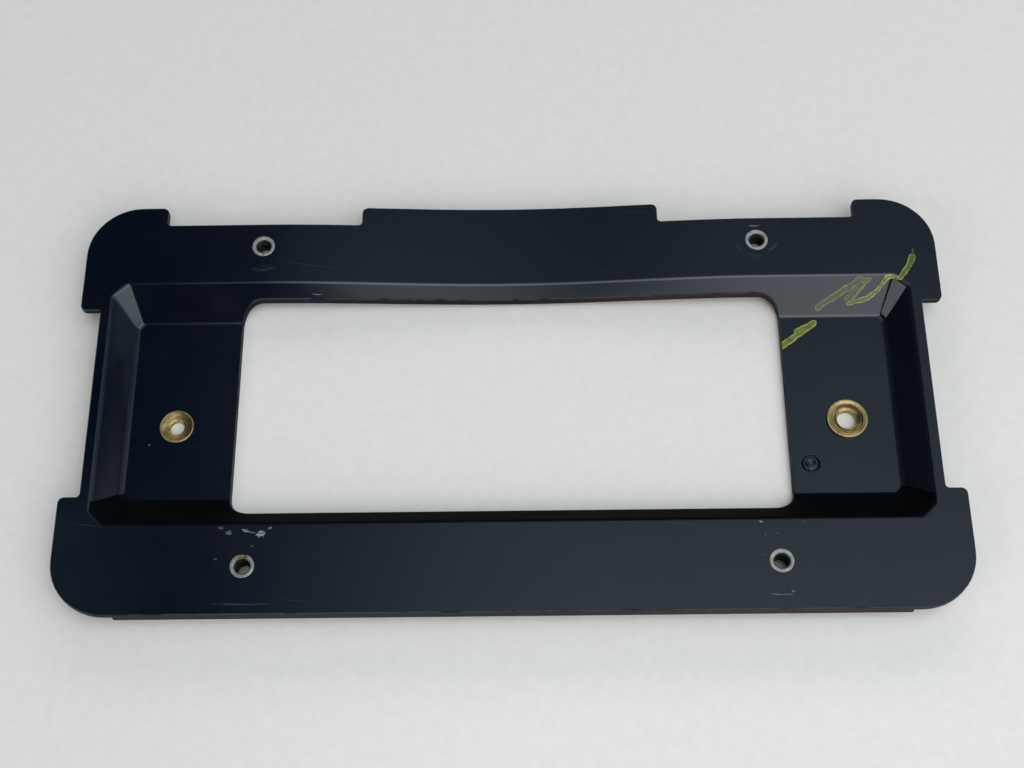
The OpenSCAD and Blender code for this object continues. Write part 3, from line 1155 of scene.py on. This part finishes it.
class Effects:
    """The shader node groups that the materials share, each built once."""

    def __init__(self) -> None:
        """Builds every group."""
        self.grain = self.make_grain()
        self.scratches = self.make_scratches()
        self.edge_wear = self.make_edge_wear()
        self.scuff = self.make_scuff()
        self.stroke = self.make_stroke()
        self.ring_stain_and_highlight = self.make_ring_stain()

    @staticmethod
    def start(name: str, inputs: dict[str, float | tuple], output: str) -> tuple:
        """Makes an empty group with its sockets, of which the first is always the place.

        Args:
            name: the group's name.
            inputs: the further inputs' values by name. A tuple makes a vector socket.
            output: the name of its one value output.

        Returns:
            The tree, its helper, the sockets of its inputs and the socket of its output.
        """
        tree = bpy.data.node_groups.new(name, "ShaderNodeTree")
        for title, value in {"Vector": (0, 0, 0), **inputs}.items():
            kind = "NodeSocketVector" if isinstance(value, tuple) else "NodeSocketFloat"
            socket = tree.interface.new_socket(name=title, in_out="INPUT", socket_type=kind)
            socket.default_value = value
        tree.interface.new_socket(name=output, in_out="OUTPUT", socket_type="NodeSocketFloat")
        help_ = Shader(tree)
        return tree, help_, help_.node("NodeGroupInput").outputs, help_.node("NodeGroupOutput").inputs[0]

    def make_grain(self) -> bpy.types.NodeTree:
        """Fine moulded grain: two noises, one fine and one ten times coarser.

        Returns:
            The group.
        """
        tree, h, put, out = self.start("moulded grain", {"Scale": 3000.0, "Coarse share": 0.4}, "Height")
        fine = h.ripple(put["Vector"], put["Scale"], 2.0)
        wide = h.math("MULTIPLY", put["Scale"], 0.1)
        coarse = h.ripple(put["Vector"], wide, 3.0)
        part = h.math("MULTIPLY", h.math("SUBTRACT", coarse, fine), put["Coarse share"])
        tree.links.new(h.math("ADD", fine, part), out)
        return tree

    def make_scratches(self) -> bpy.types.NodeTree:
        """Hair scratches: noise stretched along one direction, of which only the highest ridges show.

        Returns:
            The group.
        """
        tree, h, put, out = self.start("hair scratches", {
            "Angle": 0.0, "Length": 60.0, "Width": 2500.0, "Amount": 0.3,
        }, "Mask")
        turned = h.turned(put["Vector"], put["Angle"])
        scale = h.node("ShaderNodeCombineXYZ", {"X": put["Length"], "Y": put["Width"], "Z": put["Length"]})
        ridge = h.ripple(h.vector("MULTIPLY", turned, scale.outputs[0]), 1.0, 2.0)
        patch = h.ripple(turned, 45.0, 2.0)
        lift = h.math("MULTIPLY_ADD", put["Amount"], -0.3, 0.86)
        uneven = h.plus(ridge, h.math("SUBTRACT", patch, 0.5), 0.4)
        line = h.between(uneven, lift, h.math("ADD", lift, 0.12))
        tree.links.new(line, out)
        return tree

    def make_edge_wear(self) -> bpy.types.NodeTree:
        """Wear along an arris: the arris's own mask, broken up by noise.

        Returns:
            The group.
        """
        tree, h, put, out = self.start("edge wear", {"Edge": 0.0, "Amount": 0.5, "Scale": 300.0}, "Mask")
        patch = h.ripple(put["Vector"], put["Scale"], 4.0)
        low = h.math("SUBTRACT", 0.85, put["Amount"])
        worn = h.between(patch, low, h.math("ADD", low, 0.25))
        tree.links.new(h.math("MULTIPLY", worn, put["Edge"], clamp=True), out)
        return tree

    def make_scuff(self) -> bpy.types.NodeTree:
        """A scuffed patch: an ellipse at a place, filled with streaks along its length.

        Returns:
            The group.
        """
        tree, h, put, out = self.start("scuffed patch", {
            "Centre": (0, 0, 0), "Size": (0.01, 0.002, 1.0), "Angle": 0.0, "Streaks": (500.0, 2500.0, 1.0),
            "Cover": 0.5,
        }, "Mask")
        turned = h.turned(h.arm(put["Centre"], put["Vector"]), put["Angle"])
        reach = h.vector("LENGTH", h.vector("DIVIDE", turned, put["Size"]), out="Value")
        inside = h.between(reach, 1.0, 0.3)
        streak = h.ripple(h.vector("MULTIPLY", turned, put["Streaks"]), 1.0, 4.0)
        low = h.math("MULTIPLY_ADD", put["Cover"], -0.4, 0.75)
        faded = h.math("MULTIPLY", streak, h.math("MULTIPLY_ADD", inside, 0.5, 0.5))
        cut = h.between(faded, low, h.math("ADD", low, 0.1))
        tree.links.new(h.math("MULTIPLY", cut, inside), out)
        return tree

    def make_ring_stain(self) -> bpy.types.NodeTree:
        """A band between two radii round a centre, strongest towards one side and frayed by noise, used for
        stains and for painted rim highlights.

        Returns:
            The group.
        """
        tree, h, put, out = self.start("ring stain", {
            "Centre": (0, 0, 0), "Inner": 0.004, "Outer": 0.005, "Towards": (1, 0, 0), "Reach": 0.0,
        }, "Mask")
        arm = h.arm(put["Centre"], put["Vector"])
        fray = h.ripple(put["Vector"], 900.0, 3.0)
        uneven, soft = 1.2 * MM, 0.2 * MM
        frayed = h.math("MULTIPLY_ADD", fray, uneven, -uneven / 2)
        radius = h.math("ADD", h.vector("LENGTH", arm, out="Value"), frayed)
        inner, outer = (
            h.between(radius, h.math(first, put[edge], soft), h.math(last, put[edge], soft))
            for edge, first, last in (("Inner", "SUBTRACT", "ADD"), ("Outer", "ADD", "SUBTRACT"))
        )
        band = h.math("MULTIPLY", inner, outer)
        facing = h.vector("DOT_PRODUCT", h.vector("NORMALIZE", arm), put["Towards"], out="Value")
        facing = h.math("ADD", facing, h.math("MULTIPLY_ADD", fray, 0.8, -0.4))
        side = h.between(facing, put["Reach"], h.math("ADD", put["Reach"], 0.35))
        tree.links.new(h.math("MULTIPLY", band, side), out)
        return tree

    def make_stroke(self) -> bpy.types.NodeTree:
        """A stroke of ink between two places: the distance in plan to the line, over its half width.

        Returns:
            The group.
        """
        tree, h, put, out = self.start("ink stroke", {
            "Start": (0, 0, 0), "End": (0.01, 0, 0), "Half width": 0.001,
        }, "Distance")
        run, away = h.arm(put["Start"], put["End"]), h.arm(put["Start"], put["Vector"])
        along, whole = (h.vector("DOT_PRODUCT", v, run, out="Value") for v in (away, run))
        share = h.math("DIVIDE", along, whole, clamp=True)
        far = h.vector("LENGTH", h.vector("SUBTRACT", away, h.scaled(run, share)), out="Value")
        tree.links.new(h.math("DIVIDE", far, put["Half width"]), out)
        return tree


@dataclass(frozen=True)
class Scuff:
    """A scuffed patch on the tray, placed in plan, in millimetres and degrees."""

    x: float
    y: float
    long: float
    wide: float
    angle: float = 0.0
    cover: float = 0.5
    strength: float = 0.5
    streaks: tuple[float, float] = (400.0, 2500.0)


@dataclass(frozen=True)
class Stroke:
    """A stroke of marker on the tray, between two places in plan, in millimetres."""

    start: tuple[float, float]
    end: tuple[float, float]
    half: float
    strength: float = 0.8


def material(name: str) -> tuple[bpy.types.Material, Shader, bpy.types.Node]:
    """Starts a material.

    Args:
        name: the material's name.

    Returns:
        The material, its helper and its one shader.
    """
    made = bpy.data.materials.new(name)
    made.use_nodes = True
    made.node_tree.nodes.clear()
    help_ = Shader(made.node_tree)
    skin = help_.node("ShaderNodeBsdfPrincipled")
    help_.node("ShaderNodeOutputMaterial", {"Surface": skin.outputs[0]})
    return made, help_, skin


@dataclass(frozen=True)
class PlasticFinish:
    """Blue-black satin plastic, dusty and scuffed, with marker strokes."""

    base: tuple = (0.0004, 0.0026, 0.0082, 1.0)
    warm: tuple = (0.0011, 0.0024, 0.0078, 1.0)
    dust: tuple = (0.050, 0.062, 0.075, 1.0)
    pale: tuple = (0.26, 0.26, 0.29, 1.0)
    ink: tuple = (0.175, 0.205, 0.025, 1.0)
    ink_rim: tuple = (0.50, 0.55, 0.045, 1.0)
    worn: tuple = (0.075, 0.080, 0.090, 1.0)
    roughness: float = 0.16
    specular: float = 0.5
    scuffs: tuple[Scuff, ...] = ()
    strokes: tuple[Stroke, ...] = ()
    # A distance beyond any stroke, in half widths
    BEYOND = 9.0

    def build(self, effects: Effects) -> bpy.types.Material:
        """Makes the material of the tray's faces.

        Args:
            effects: the shared node groups.

        Returns:
            The material.
        """
        made, h, skin = material("moulded plastic")
        where = h.coordinate()
        colour = h.mix(h.between(h.noise(where, 45.0, 4.0, 0.6), 0.42, 0.60), self.base, self.warm)
        cloud = h.noise(where, 30.0, 5.0, 0.6, 2.0)
        speck = h.between(h.noise(where, 900.0, 1.0, 0.5, 5.0), 0.72, 0.80)
        dusty = h.math("MULTIPLY", h.between(cloud, 0.45, 0.75), 0.03)
        dusty = h.plus(dusty, speck, 0.06)
        x, y, _ = h.parts(where)
        ear = h.math("MULTIPLY", h.between(x, -0.105, -0.150), h.between(y, -0.02, -0.05))
        dusty = h.plus(dusty, ear, 0.11)
        colour = h.mix(dusty, colour, self.dust)
        lines = [
            h.group(effects.scratches, vector=where, angle=turn, length=long_, width=1800.0, amount=amount)
            for turn, long_, amount in ((0.12, 35.0, 0.52), (1.25, 60.0, 0.38), (-0.7, 50.0, 0.38))
        ]
        hair = h.math("MAXIMUM", h.math("MAXIMUM", lines[0], lines[1]), lines[2])
        colour = h.mix(h.math("MULTIPLY", hair, 0.02), colour, self.pale)
        edge = h.attribute("arris")
        worn = h.group(effects.edge_wear, vector=where, edge=edge, amount=0.35, scale=260.0)
        colour = h.mix(h.math("MULTIPLY", worn, 0.6), colour, self.worn)
        marks = 0.0
        for scuff in self.scuffs:
            mask = h.group(
                effects.scuff, vector=where, centre=(scuff.x * MM, scuff.y * MM, 0.0),
                size=(scuff.long * MM / 2, scuff.wide * MM / 2, 1.0), angle=-math.radians(scuff.angle),
                streaks=(*scuff.streaks, 1.0), cover=scuff.cover,
            )
            marks = h.math("MAXIMUM", marks, h.math("MULTIPLY", mask, scuff.strength))
        colour = h.mix(marks, colour, self.pale)
        rough = h.plus(self.roughness, h.math("SUBTRACT", cloud, 0.5), 0.10)
        rough = h.plus(rough, h.math("MAXIMUM", marks, h.math("MULTIPLY", hair, 0.5)), 0.3)
        colour, rough = self.write(effects, h, where, colour, rough)
        grain = h.group(effects.grain, vector=where, scale=2600.0, coarse_share=0.35)
        h.dress(skin, colour, rough, h.plus(grain, hair, -0.5), 0.25, 0.04 * MM)
        skin.inputs["Specular IOR Level"].default_value = self.specular
        return made

    def write(self, effects: Effects, h: Shader, where: Feed, colour: Feed, rough: Feed) -> tuple[Feed, Feed]:
        """Lays the marker strokes over the plastic: streaky inside, with a brighter line along the edges.

        The edge is that of all the strokes together, so that no line shows where two of them meet.

        Args:
            effects: the shared node groups.
            h: the material's helper.
            where: the place on the object.
            colour: the plastic's colour.
            rough: the plastic's roughness.

        Returns:
            The colour and the roughness with the strokes on them.
        """
        if not self.strokes:
            return colour, rough
        wobble = h.vector("SUBTRACT", h.ripple(where, 420.0, 3.0, "Color"), (0.5, 0.5, 0.5))
        place = h.vector("ADD", where, h.scaled(wobble, 1.1 * MM))
        fill, nearest = 0.0, self.BEYOND
        for stroke in self.strokes:
            far = h.group(
                effects.stroke, vector=place, start=tuple(v * MM for v in stroke.start) + (0.0,),
                end=tuple(v * MM for v in stroke.end) + (0.0,), half_width=stroke.half * MM,
            )
            nearest = h.math("MINIMUM", nearest, far)
            fill = h.math("MAXIMUM", fill, h.between(far, 1.0, 0.86, 0.0, stroke.strength))
        rim = h.math("MULTIPLY", fill, h.between(nearest, 0.5, 0.85))
        streak = h.between(h.noise(place, 500.0, 4.0, 0.7, 3.0), 0.28, 0.60, 0.4, 1.0)
        colour = h.mix(h.math("MULTIPLY", fill, streak), colour, self.ink)
        colour = h.mix(h.math("MULTIPLY", rim, h.between(streak, 0.4, 0.9)), colour, self.ink_rim)
        return colour, h.plus(rough, fill, 0.22)


@dataclass(frozen=True)
class EdgeFinish:
    """The moulded edges of the sheet: matt, tinted dark red towards the right, with rubbed arrises."""

    base: tuple = (0.0050, 0.0058, 0.0080, 1.0)
    red: tuple = (0.036, 0.014, 0.017, 1.0)
    worn: tuple = (0.085, 0.088, 0.098, 1.0)
    roughness: float = 0.5

    def build(self, effects: Effects) -> bpy.types.Material:
        """Makes the material of the tray's edges.

        Args:
            effects: the shared node groups.

        Returns:
            The material.
        """
        made, h, skin = material("moulded edge")
        where = h.coordinate()
        right = h.between(h.parts(where)[0], 0.005, 0.06)
        tint = h.math("MULTIPLY", right, h.between(h.noise(where, 60.0, 3.0), 0.3, 0.6))
        colour = h.mix(h.math("MULTIPLY", tint, 0.8), self.base, self.red)
        edge = h.attribute("arris")
        worn = h.group(effects.edge_wear, vector=where, edge=edge, amount=0.55, scale=200.0)
        colour = h.mix(h.math("MULTIPLY", worn, 0.7), colour, self.worn)
        grain = h.group(effects.grain, vector=where, scale=2200.0, coarse_share=0.5)
        h.dress(skin, colour, h.plus(self.roughness, worn, -0.15), grain, 0.5, 0.06 * MM)
        skin.inputs["Specular IOR Level"].default_value = 0.08
        return made


@dataclass(frozen=True)
class RingStainAndHighlight:
    """A tinted band round part of a turned piece, used for stains and for painted highlights on a bush's rim:
    its two radii, its direction and how far round it goes.

    The radii are in millimetres, the direction is in degrees and the reach is a cosine.
    """

    inner: float
    outer: float
    towards: float
    reach: float
    colour: tuple
    strength: float


@dataclass(frozen=True)
class MetalFinish:
    """A turned metal, dulled, with marks round its axis, stains, painted highlights on a rim, and painted
    shade down a bore.
    """

    name: str
    bright: tuple
    dull: tuple
    stain: tuple
    roughness: float
    stained: float
    stain_scale: float = 420.0
    centre: tuple[float, float] = (0.0, 0.0)
    rings: tuple[RingStainAndHighlight, ...] = ()
    # Colour of the painted shade down a bore
    bore_shade: tuple = (0.010, 0.0085, 0.007, 1.0)

    def build(self, effects: Effects) -> bpy.types.Material:
        """Makes the metal.

        Args:
            effects: the shared node groups.

        Returns:
            The material.
        """
        made, h, skin = material(self.name)
        where = h.coordinate()
        lay = h.attribute("lay", "Vector")
        turned = h.ripple(h.vector("MULTIPLY", lay, (3.0, 260.0, 1.0)), 1.0, 3.0)
        patch = h.noise(where, self.stain_scale, 4.0, 0.6, 1.0)
        colour = h.mix(h.between(patch, 0.35, 0.62), self.bright, self.dull)
        blot = h.noise(where, self.stain_scale * 0.7, 4.0, 0.6, 7.0)
        spot = h.between(blot, 0.66 - self.stained, 0.78 - self.stained)
        colour = h.mix(spot, colour, self.stain)
        for ring in self.rings:
            turn = math.radians(ring.towards)
            mask = h.group(
                effects.ring_stain_and_highlight, vector=where, centre=(*self.centre, 0.0), inner=ring.inner * MM,
                outer=ring.outer * MM, towards=(math.cos(turn), math.sin(turn), 0.0), reach=ring.reach,
            )
            colour = h.mix(h.math("MULTIPLY", mask, ring.strength), colour, ring.colour)
        edge = h.attribute("arris")
        worn = h.group(effects.edge_wear, vector=where, edge=edge, amount=0.6, scale=700.0)
        colour = h.mix(h.math("MULTIPLY", worn, 0.6), colour, self.bright)
        # Painted shade down a bore, where the arris value is below zero
        bore = h.between(edge, -0.1, -0.8)
        colour = h.mix(h.math("MULTIPLY", bore, h.between(patch, 0.3, 0.7, 1.0, 0.75)), colour, self.bore_shade)
        rough = h.plus(self.roughness, h.math("SUBTRACT", turned, 0.5), 0.25)
        rough = h.plus(rough, h.math("MAXIMUM", spot, bore), 0.2)
        grain = h.group(effects.grain, vector=where, scale=5000.0, coarse_share=0.5)
        h.dress(skin, colour, rough, h.math("ADD", h.math("MULTIPLY", grain, 0.6), turned), 0.5, 0.04 * MM)
        skin.inputs["Metallic"].default_value = 1.0
        return made


@dataclass(frozen=True)
class Lamp:
    """A soft lamp: where it is seen from the object, its size and its brightness as seen."""

    name: str
    towards: tuple[float, float, float]
    away: float
    size: tuple[float, float]
    radiance: float
    colour: tuple[float, float, float] = (0.95, 1.0, 1.03)

    def hang(self) -> None:
        """Puts the lamp up, facing the object. Its power is pi times its area times its radiance."""
        data = bpy.data.lights.new(self.name, "AREA")
        data.shape = "RECTANGLE"
        data.size, data.size_y = self.size
        data.energy = math.pi * self.size[0] * self.size[1] * self.radiance
        data.color = self.colour
        lamp = bpy.data.objects.new(self.name, data)
        way = Vector(self.towards).normalized()
        turn = way.to_track_quat("Z", "Y").to_matrix().to_4x4()
        lamp.matrix_world = Matrix.Translation(way * self.away) @ turn
        bpy.context.scene.collection.objects.link(lamp)


@dataclass
class Studio:
    """The table, the lamps and the camera.

    The camera's place and axes are those from which the outline and the screws look as they do in the
    photograph. Its lens and its sensor are in millimetres.
    """

    eye: tuple[float, float, float] = (0.00746, -0.22057, 0.50816)
    right: tuple[float, float, float] = (0.99984813, -0.00566851, -0.01647958)
    up: tuple[float, float, float] = (0.01197199, 0.91058504, 0.41314834)
    back: tuple[float, float, float] = (0.01266413, -0.41328289, 0.91051462)
    lens: float = 55.314
    sensor: float = 36.0
    cool: tuple = (0.90, 1.0, 1.05)
    ceiling: tuple = (0.80, 1.0, 1.09)
    dark: tuple = (0.012, 0.018, 0.026)
    table: tuple = rgb(235, 223, 214)
    lamps: tuple[Lamp, ...] = field(default_factory=lambda: (
        Lamp("left pane", (-0.68, -0.51, 0.54), 1.8, (1.0, 0.8), 2.1),
        Lamp("overhead", (0.12, -0.20, 0.97), 1.8, (1.1, 1.0), 1.3),
        Lamp("behind", (0.05, 0.86, 0.51), 1.8, (2.2, 0.6), 1.8),
    ))

    def set_up(self) -> None:
        """Makes everything round the object."""
        data = bpy.data.cameras.new("camera")
        data.lens, data.sensor_width = self.lens, self.sensor
        data.clip_start, data.clip_end = 0.01, 20.0
        camera = bpy.data.objects.new("camera", data)
        turn = Matrix((self.right, self.up, self.back)).transposed().to_4x4()
        camera.matrix_world = Matrix.Translation(self.eye) @ turn
        bpy.context.scene.collection.objects.link(camera)
        bpy.context.scene.camera = camera
        for lamp in self.lamps:
            lamp.hang()
        self.light_room()
        self.lay_table()
        bpy.context.scene.view_settings.view_transform = "Standard"

    def light_room(self) -> None:
        """A dim room with a broad pale ceiling and a wide window behind the camera.

        The ceiling fades towards the left, the far side, the camera's side and the horizon, is dimmer to
        the right and is brighter on the camera's side of the middle. The window starts a little to the
        left of the object, is brightest a quarter of the way to the right, and falls off at its far end.
        Both are products of smooth steps of the direction's parts.
        """
        world = bpy.data.worlds.new("room")
        world.use_nodes = True
        bpy.context.scene.world = world
        h = Shader(world.node_tree)
        x, y, z = h.parts(h.coordinate("Generated"))

        def product(*steps: Feed) -> Feed:
            """All the steps multiplied together."""
            return reduce(lambda found, step: h.math("MULTIPLY", found, step), steps)

        ceiling = product(
            h.between(x, -0.25, 0.026), h.between(y, 0.75, 0.0), h.between(y, -0.54, -0.30),
            h.between(z, 0.0, 0.35, 0.0, 1.24), h.between(x, 0.30, 0.55, 1.0, 0.60),
            h.between(y, 0.18, 0.02, 1.0, 1.75),
        )
        window = product(
            h.between(x, -0.08, -0.007), h.between(y, -0.30, -0.50), h.between(z, 0.15, 0.35),
            h.between(x, 0.0, 0.25, 1.36, 2.37), h.between(x, 0.25, 0.50, 1.0, 0.82),
            h.between(x, 0.74, 0.95, 1.0, 0.1),
        )
        light = h.vector("ADD", h.scaled(self.ceiling, ceiling), h.scaled(self.cool, window))
        light = h.vector("ADD", light, self.dark)
        h.feed(world.node_tree.nodes["Background"].inputs["Color"], light)

    def lay_table(self) -> None:
        """A pale table top, a little mottled, with painted light that makes it paler towards the right and
        the camera.
        """
        half = 4.0
        mesh = bpy.data.meshes.new("table")
        corners = [(x * half, y * half, 0.0) for x, y in ((-1, -1), (1, -1), (1, 1), (-1, 1))]
        mesh.from_pydata(corners, [], [(0, 1, 2, 3)])
        table = bpy.data.objects.new("table", mesh)
        bpy.context.scene.collection.objects.link(table)
        made, h, skin = material("pale table")
        where = h.coordinate()
        shade = h.between(h.noise(where, 220.0, 5.0, 0.65), 0.3, 0.7)
        dark = tuple(v * 0.955 for v in self.table[:3]) + (1.0,)
        x, y, _ = h.parts(where)
        # Painted light: a gradient across the table, paler towards the right and the camera, and a little
        # more towards the camera
        across = h.math("SUBTRACT", h.math("MULTIPLY", x, 0.27), h.math("MULTIPLY", y, 0.32))
        near = h.math("MULTIPLY", h.between(x, -0.15, 0.02), h.between(y, 0.07, -0.12, 0.0, 0.08))
        level = h.math("ADD", h.between(across, -0.2, 0.2, 0.86, 1.14), near)
        h.feed(skin.inputs["Base Color"], h.scaled(h.mix(shade, dark, self.table), level))
        skin.inputs["Roughness"].default_value = 0.7
        skin.inputs["Specular IOR Level"].default_value = 0.2
        mesh.materials.append(made)


def steps_in_mm(*steps: tuple[float, float]) -> tuple[tuple[float, float], ...]:
    """A bush's steps, given as radius and depth under the rim in millimetres, in metres."""
    return tuple((radius * MM, deep * MM) for radius, deep in steps)


SCUFFS = (
    Scuff(-83.3, -49.3, 5.4, 4.4, 24.0, 0.86, 0.95, (650.0, 1500.0)),
    Scuff(-86.2, -48.6, 4.5, 1.2, 0.0, 0.88, 0.4, (700.0, 1500.0)),
    Scuff(-88.4, -48.0, 4.6, 2.0, -10.0, 0.86, 0.8, (700.0, 1600.0)),
    Scuff(-94.0, -48.7, 3.6, 3.0, 0.0, 0.86, 0.45, (700.0, 1500.0)),
    Scuff(-96.8, -46.9, 3.4, 2.0, 0.0, 0.86, 0.32, (700.0, 1500.0)),
    Scuff(-80.4, -47.1, 2.4, 1.6, 35.0, 0.95, 0.5, (500.0, 900.0)),
    Scuff(-85.9, -53.3, 2.0, 1.4, 0.0, 0.9, 0.22, (600.0, 900.0)),
    Scuff(-97.8, -57.7, 2.0, 1.6, 0.0, 0.9, 0.22, (600.0, 900.0)),
    Scuff(-89.0, 50.9, 15.0, 5.0, 6.0, 0.75, 0.055, (300.0, 900.0)),
    Scuff(-86.0, 51.6, 9.0, 1.6, 5.0, 0.75, 0.07, (250.0, 1800.0)),
    Scuff(88.4, 66.1, 7.0, 1.3, 4.0, 0.9, 0.45, (500.0, 1500.0)),
    Scuff(82.6, 57.0, 7.0, 1.4, -52.0, 0.8, 0.10, (500.0, 1500.0)),
    Scuff(94.6, 57.2, 8.0, 2.4, 52.0, 0.8, 0.12, (600.0, 1400.0)),
    Scuff(88.0, 53.9, 9.0, 1.8, -4.0, 0.75, 0.07, (600.0, 1400.0)),
    Scuff(-69.0, 42.2, 7.0, 0.9, 1.0, 0.75, 0.55),
    Scuff(83.0, -46.7, 2.2, 1.4, 0.0, 0.9, 0.9, (900.0, 900.0)),
    Scuff(96.9, -46.9, 2.0, 1.2, 0.0, 0.7, 0.35, (900.0, 900.0)),
    Scuff(84.0, -51.0, 3.0, 3.0, 20.0, 0.5, 0.35, (900.0, 900.0)),
    Scuff(88.0, -50.6, 3.0, 2.5, 20.0, 0.5, 0.30, (900.0, 900.0)),
    Scuff(83.2, -58.0, 3.0, 1.5, 20.0, 0.6, 0.30, (900.0, 900.0)),
    Scuff(87.5, -71.8, 14.0, 0.8, 0.0, 0.8, 0.5),
    Scuff(91.8, -70.7, 2.4, 0.9, 0.0, 0.9, 0.6),
    Scuff(-88.0, -73.3, 33.0, 0.9, 0.0, 0.95, 0.12, (120.0, 900.0)),
    Scuff(-126.0, -12.7, 1.2, 1.2, 0.0, 0.9, 0.6, (900.0, 900.0)),
)

STROKES = (
    Stroke((110.1, 36.7), (124.7, 44.0), 1.05, 0.3),
    Stroke((124.0, 44.0), (127.9, 44.0), 0.75, 0.35),
    Stroke((127.7, 44.0), (121.2, 37.7), 0.35, 0.7),
    Stroke((124.8, 43.2), (120.0, 38.8), 0.55, 0.3),
    Stroke((121.0, 37.5), (125.1, 38.5), 0.7, 0.5),
    Stroke((125.1, 38.5), (127.9, 39.1), 0.8, 0.6),
    Stroke((127.9, 39.1), (130.8, 40.9), 0.8, 0.75),
    Stroke((130.8, 40.9), (133.3, 43.5), 0.65, 0.75),
    Stroke((133.3, 43.5), (134.3, 44.6), 0.65, 0.85),
    Stroke((134.3, 44.6), (136.6, 45.0), 0.7, 1.0),
    Stroke((136.6, 45.0), (138.2, 44.0), 0.7, 1.0),
    Stroke((138.8, 44.2), (140.7, 46.5), 1.05, 0.6),
    Stroke((140.7, 46.5), (142.7, 49.8), 1.15, 0.6),
    Stroke((142.7, 49.8), (143.9, 52.4), 1.2, 0.5),
    Stroke((144.1, 52.8), (144.7, 55.2), 0.35, 0.25),
    Stroke((96.2, 22.2), (108.2, 31.1), 1.25, 0.8),
    Stroke((102.0, 28.2), (108.6, 31.6), 0.9, 0.9),
)

# Copies of the plastic with painted shade: a dimmer, paler one for the right wall and a near-black, nearly
# matt one for the lower wall
DULL_PLASTIC = PlasticFinish(
    base=(0.0042, 0.0068, 0.0120, 1.0), warm=(0.0050, 0.0064, 0.0110, 1.0), specular=0.10, roughness=0.42,
)
LOWER_WALL_SHADE_PLASTIC = PlasticFinish(
    base=(0.0006, 0.0015, 0.0022, 1.0), warm=(0.0008, 0.0014, 0.0020, 1.0),
    dust=(0.015, 0.018, 0.022, 1.0), specular=0.03, roughness=0.5,
)
STEEL = MetalFinish(
    "dull zinc plate", bright=(0.45, 0.44, 0.41, 1), dull=(0.29, 0.28, 0.255, 1), stain=(0.13, 0.10, 0.07, 1),
    roughness=0.55, stained=0.06,
)

BUSHES = (
    Bush(Side.LEFT, steps_in_mm((5.3, 0.35), (3.95, 0.62), (3.85, 0.82), (3.2, 0.92), (3.1, 1.1))),
    Bush(Side.RIGHT, steps_in_mm((5.5, 0.25), (5.1, 0.62), (4.6, 0.62), (4.2, 0.95), (3.8, 1.15))),
)

# RIM_HIGHLIGHT is a pale band that paints the highlight on each bush's rim; the other rings are stains
PURPLE, UMBER, RIM_HIGHLIGHT = (0.075, 0.042, 0.045, 1), (0.10, 0.055, 0.02, 1), (0.50, 0.40, 0.27, 1)
OLIVE, GOLD = (0.16, 0.12, 0.055, 1), (0.42, 0.28, 0.075, 1)
BUSH_RINGS = {
    Side.LEFT: (
        RingStainAndHighlight(3.6, 5.6, 15.0, 0.25, OLIVE, 0.7), RingStainAndHighlight(4.4, 5.4, 140.0, 0.75, UMBER, 0.85),
        RingStainAndHighlight(4.2, 5.3, 250.0, 0.6, UMBER, 0.4), RingStainAndHighlight(5.45, 6.3, 210.0, -0.4, RIM_HIGHLIGHT, 0.7),
    ),
    Side.RIGHT: (
        RingStainAndHighlight(4.2, 5.6, 55.0, 0.1, PURPLE, 0.85), RingStainAndHighlight(3.5, 4.7, 185.0, 0.5, UMBER, 0.6),
        RingStainAndHighlight(4.3, 4.9, 275.0, 0.6, UMBER, 0.8), RingStainAndHighlight(5.2, 6.3, 235.0, 0.2, GOLD, 0.6),
        RingStainAndHighlight(6.6, 7.5, 270.0, -0.2, RIM_HIGHLIGHT, 0.8),
    ),
}


def brass_for(side: Side) -> MetalFinish:
    """The stained brass of one bush, with its own ring stains.

    Args:
        side: the end of the tray that the bush is at.

    Returns:
        The finish.
    """
    x, y = middle_of(bush_node(side))
    return MetalFinish(
        f"stained brass {side.name.lower()}", (0.46, 0.34, 0.135, 1), (0.30, 0.205, 0.075, 1),
        (0.13, 0.08, 0.04, 1), 0.40, 0.06, centre=(x, y), rings=BUSH_RINGS[side],
    )


def finish(piece: bpy.types.Object, node: str, slot: Slot, *materials: bpy.types.Material) -> None:
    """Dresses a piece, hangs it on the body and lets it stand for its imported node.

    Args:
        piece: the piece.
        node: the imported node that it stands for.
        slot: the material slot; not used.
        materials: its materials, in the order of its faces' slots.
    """
    for made in materials:
        piece.data.materials.append(made)
    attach(piece, ROOT)
    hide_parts(node)
    log.info("%s: %d faces, stands for %s", piece.name, len(piece.data.polygons), node)


def main() -> None:
    """Builds the tray, its inserts and its bushes, and the studio round them."""
    logging.basicConfig(level=logging.INFO, format="%(name)s: %(message)s")
    effects = Effects()
    Studio().set_up()
    plastic = PlasticFinish(scuffs=SCUFFS, strokes=STROKES).build(effects)
    edge = EdgeFinish().build(effects)
    # The copies of the plastic with painted shade for the right wall and the lower wall
    dull, lower_shade_plastic = DULL_PLASTIC.build(effects), LOWER_WALL_SHADE_PLASTIC.build(effects)
    finish(Tray(TraySizes()).build(), "holder_plate", Slot.PLASTIC, plastic, edge, dull, lower_shade_plastic)
    steel = STEEL.build(effects)
    rusty = replace(
        STEEL, name="rusty zinc plate", centre=tuple(middle_of("insert_lower_left")),
        rings=(RingStainAndHighlight(2.3, 3.75, 100.0, 0.55, (0.20, 0.13, 0.065, 1), 0.85),),
    ).build(effects)
    burr = (Ding(-40.0, 16.0, 0.28 * MM, 0.25 * MM), Ding(-95.0, 12.0, -0.15 * MM, -0.2 * MM))
    for name, dings in (
        ("insert_upper_left", burr), ("insert_upper_right", ()),
        ("insert_lower_left", (Ding(95.0, 20.0, -0.35 * MM, -0.25 * MM),)), ("insert_lower_right", ()),
    ):
        finish(Insert(name, dings).build(), name, Slot.STEEL, rusty if name == "insert_lower_left" else steel)
    for bush in BUSHES:
        finish(bush.build(), bush_node(bush.side), Slot.BRASS, brass_for(bush.side).build(effects))


if __name__ == "__main__":
    main()
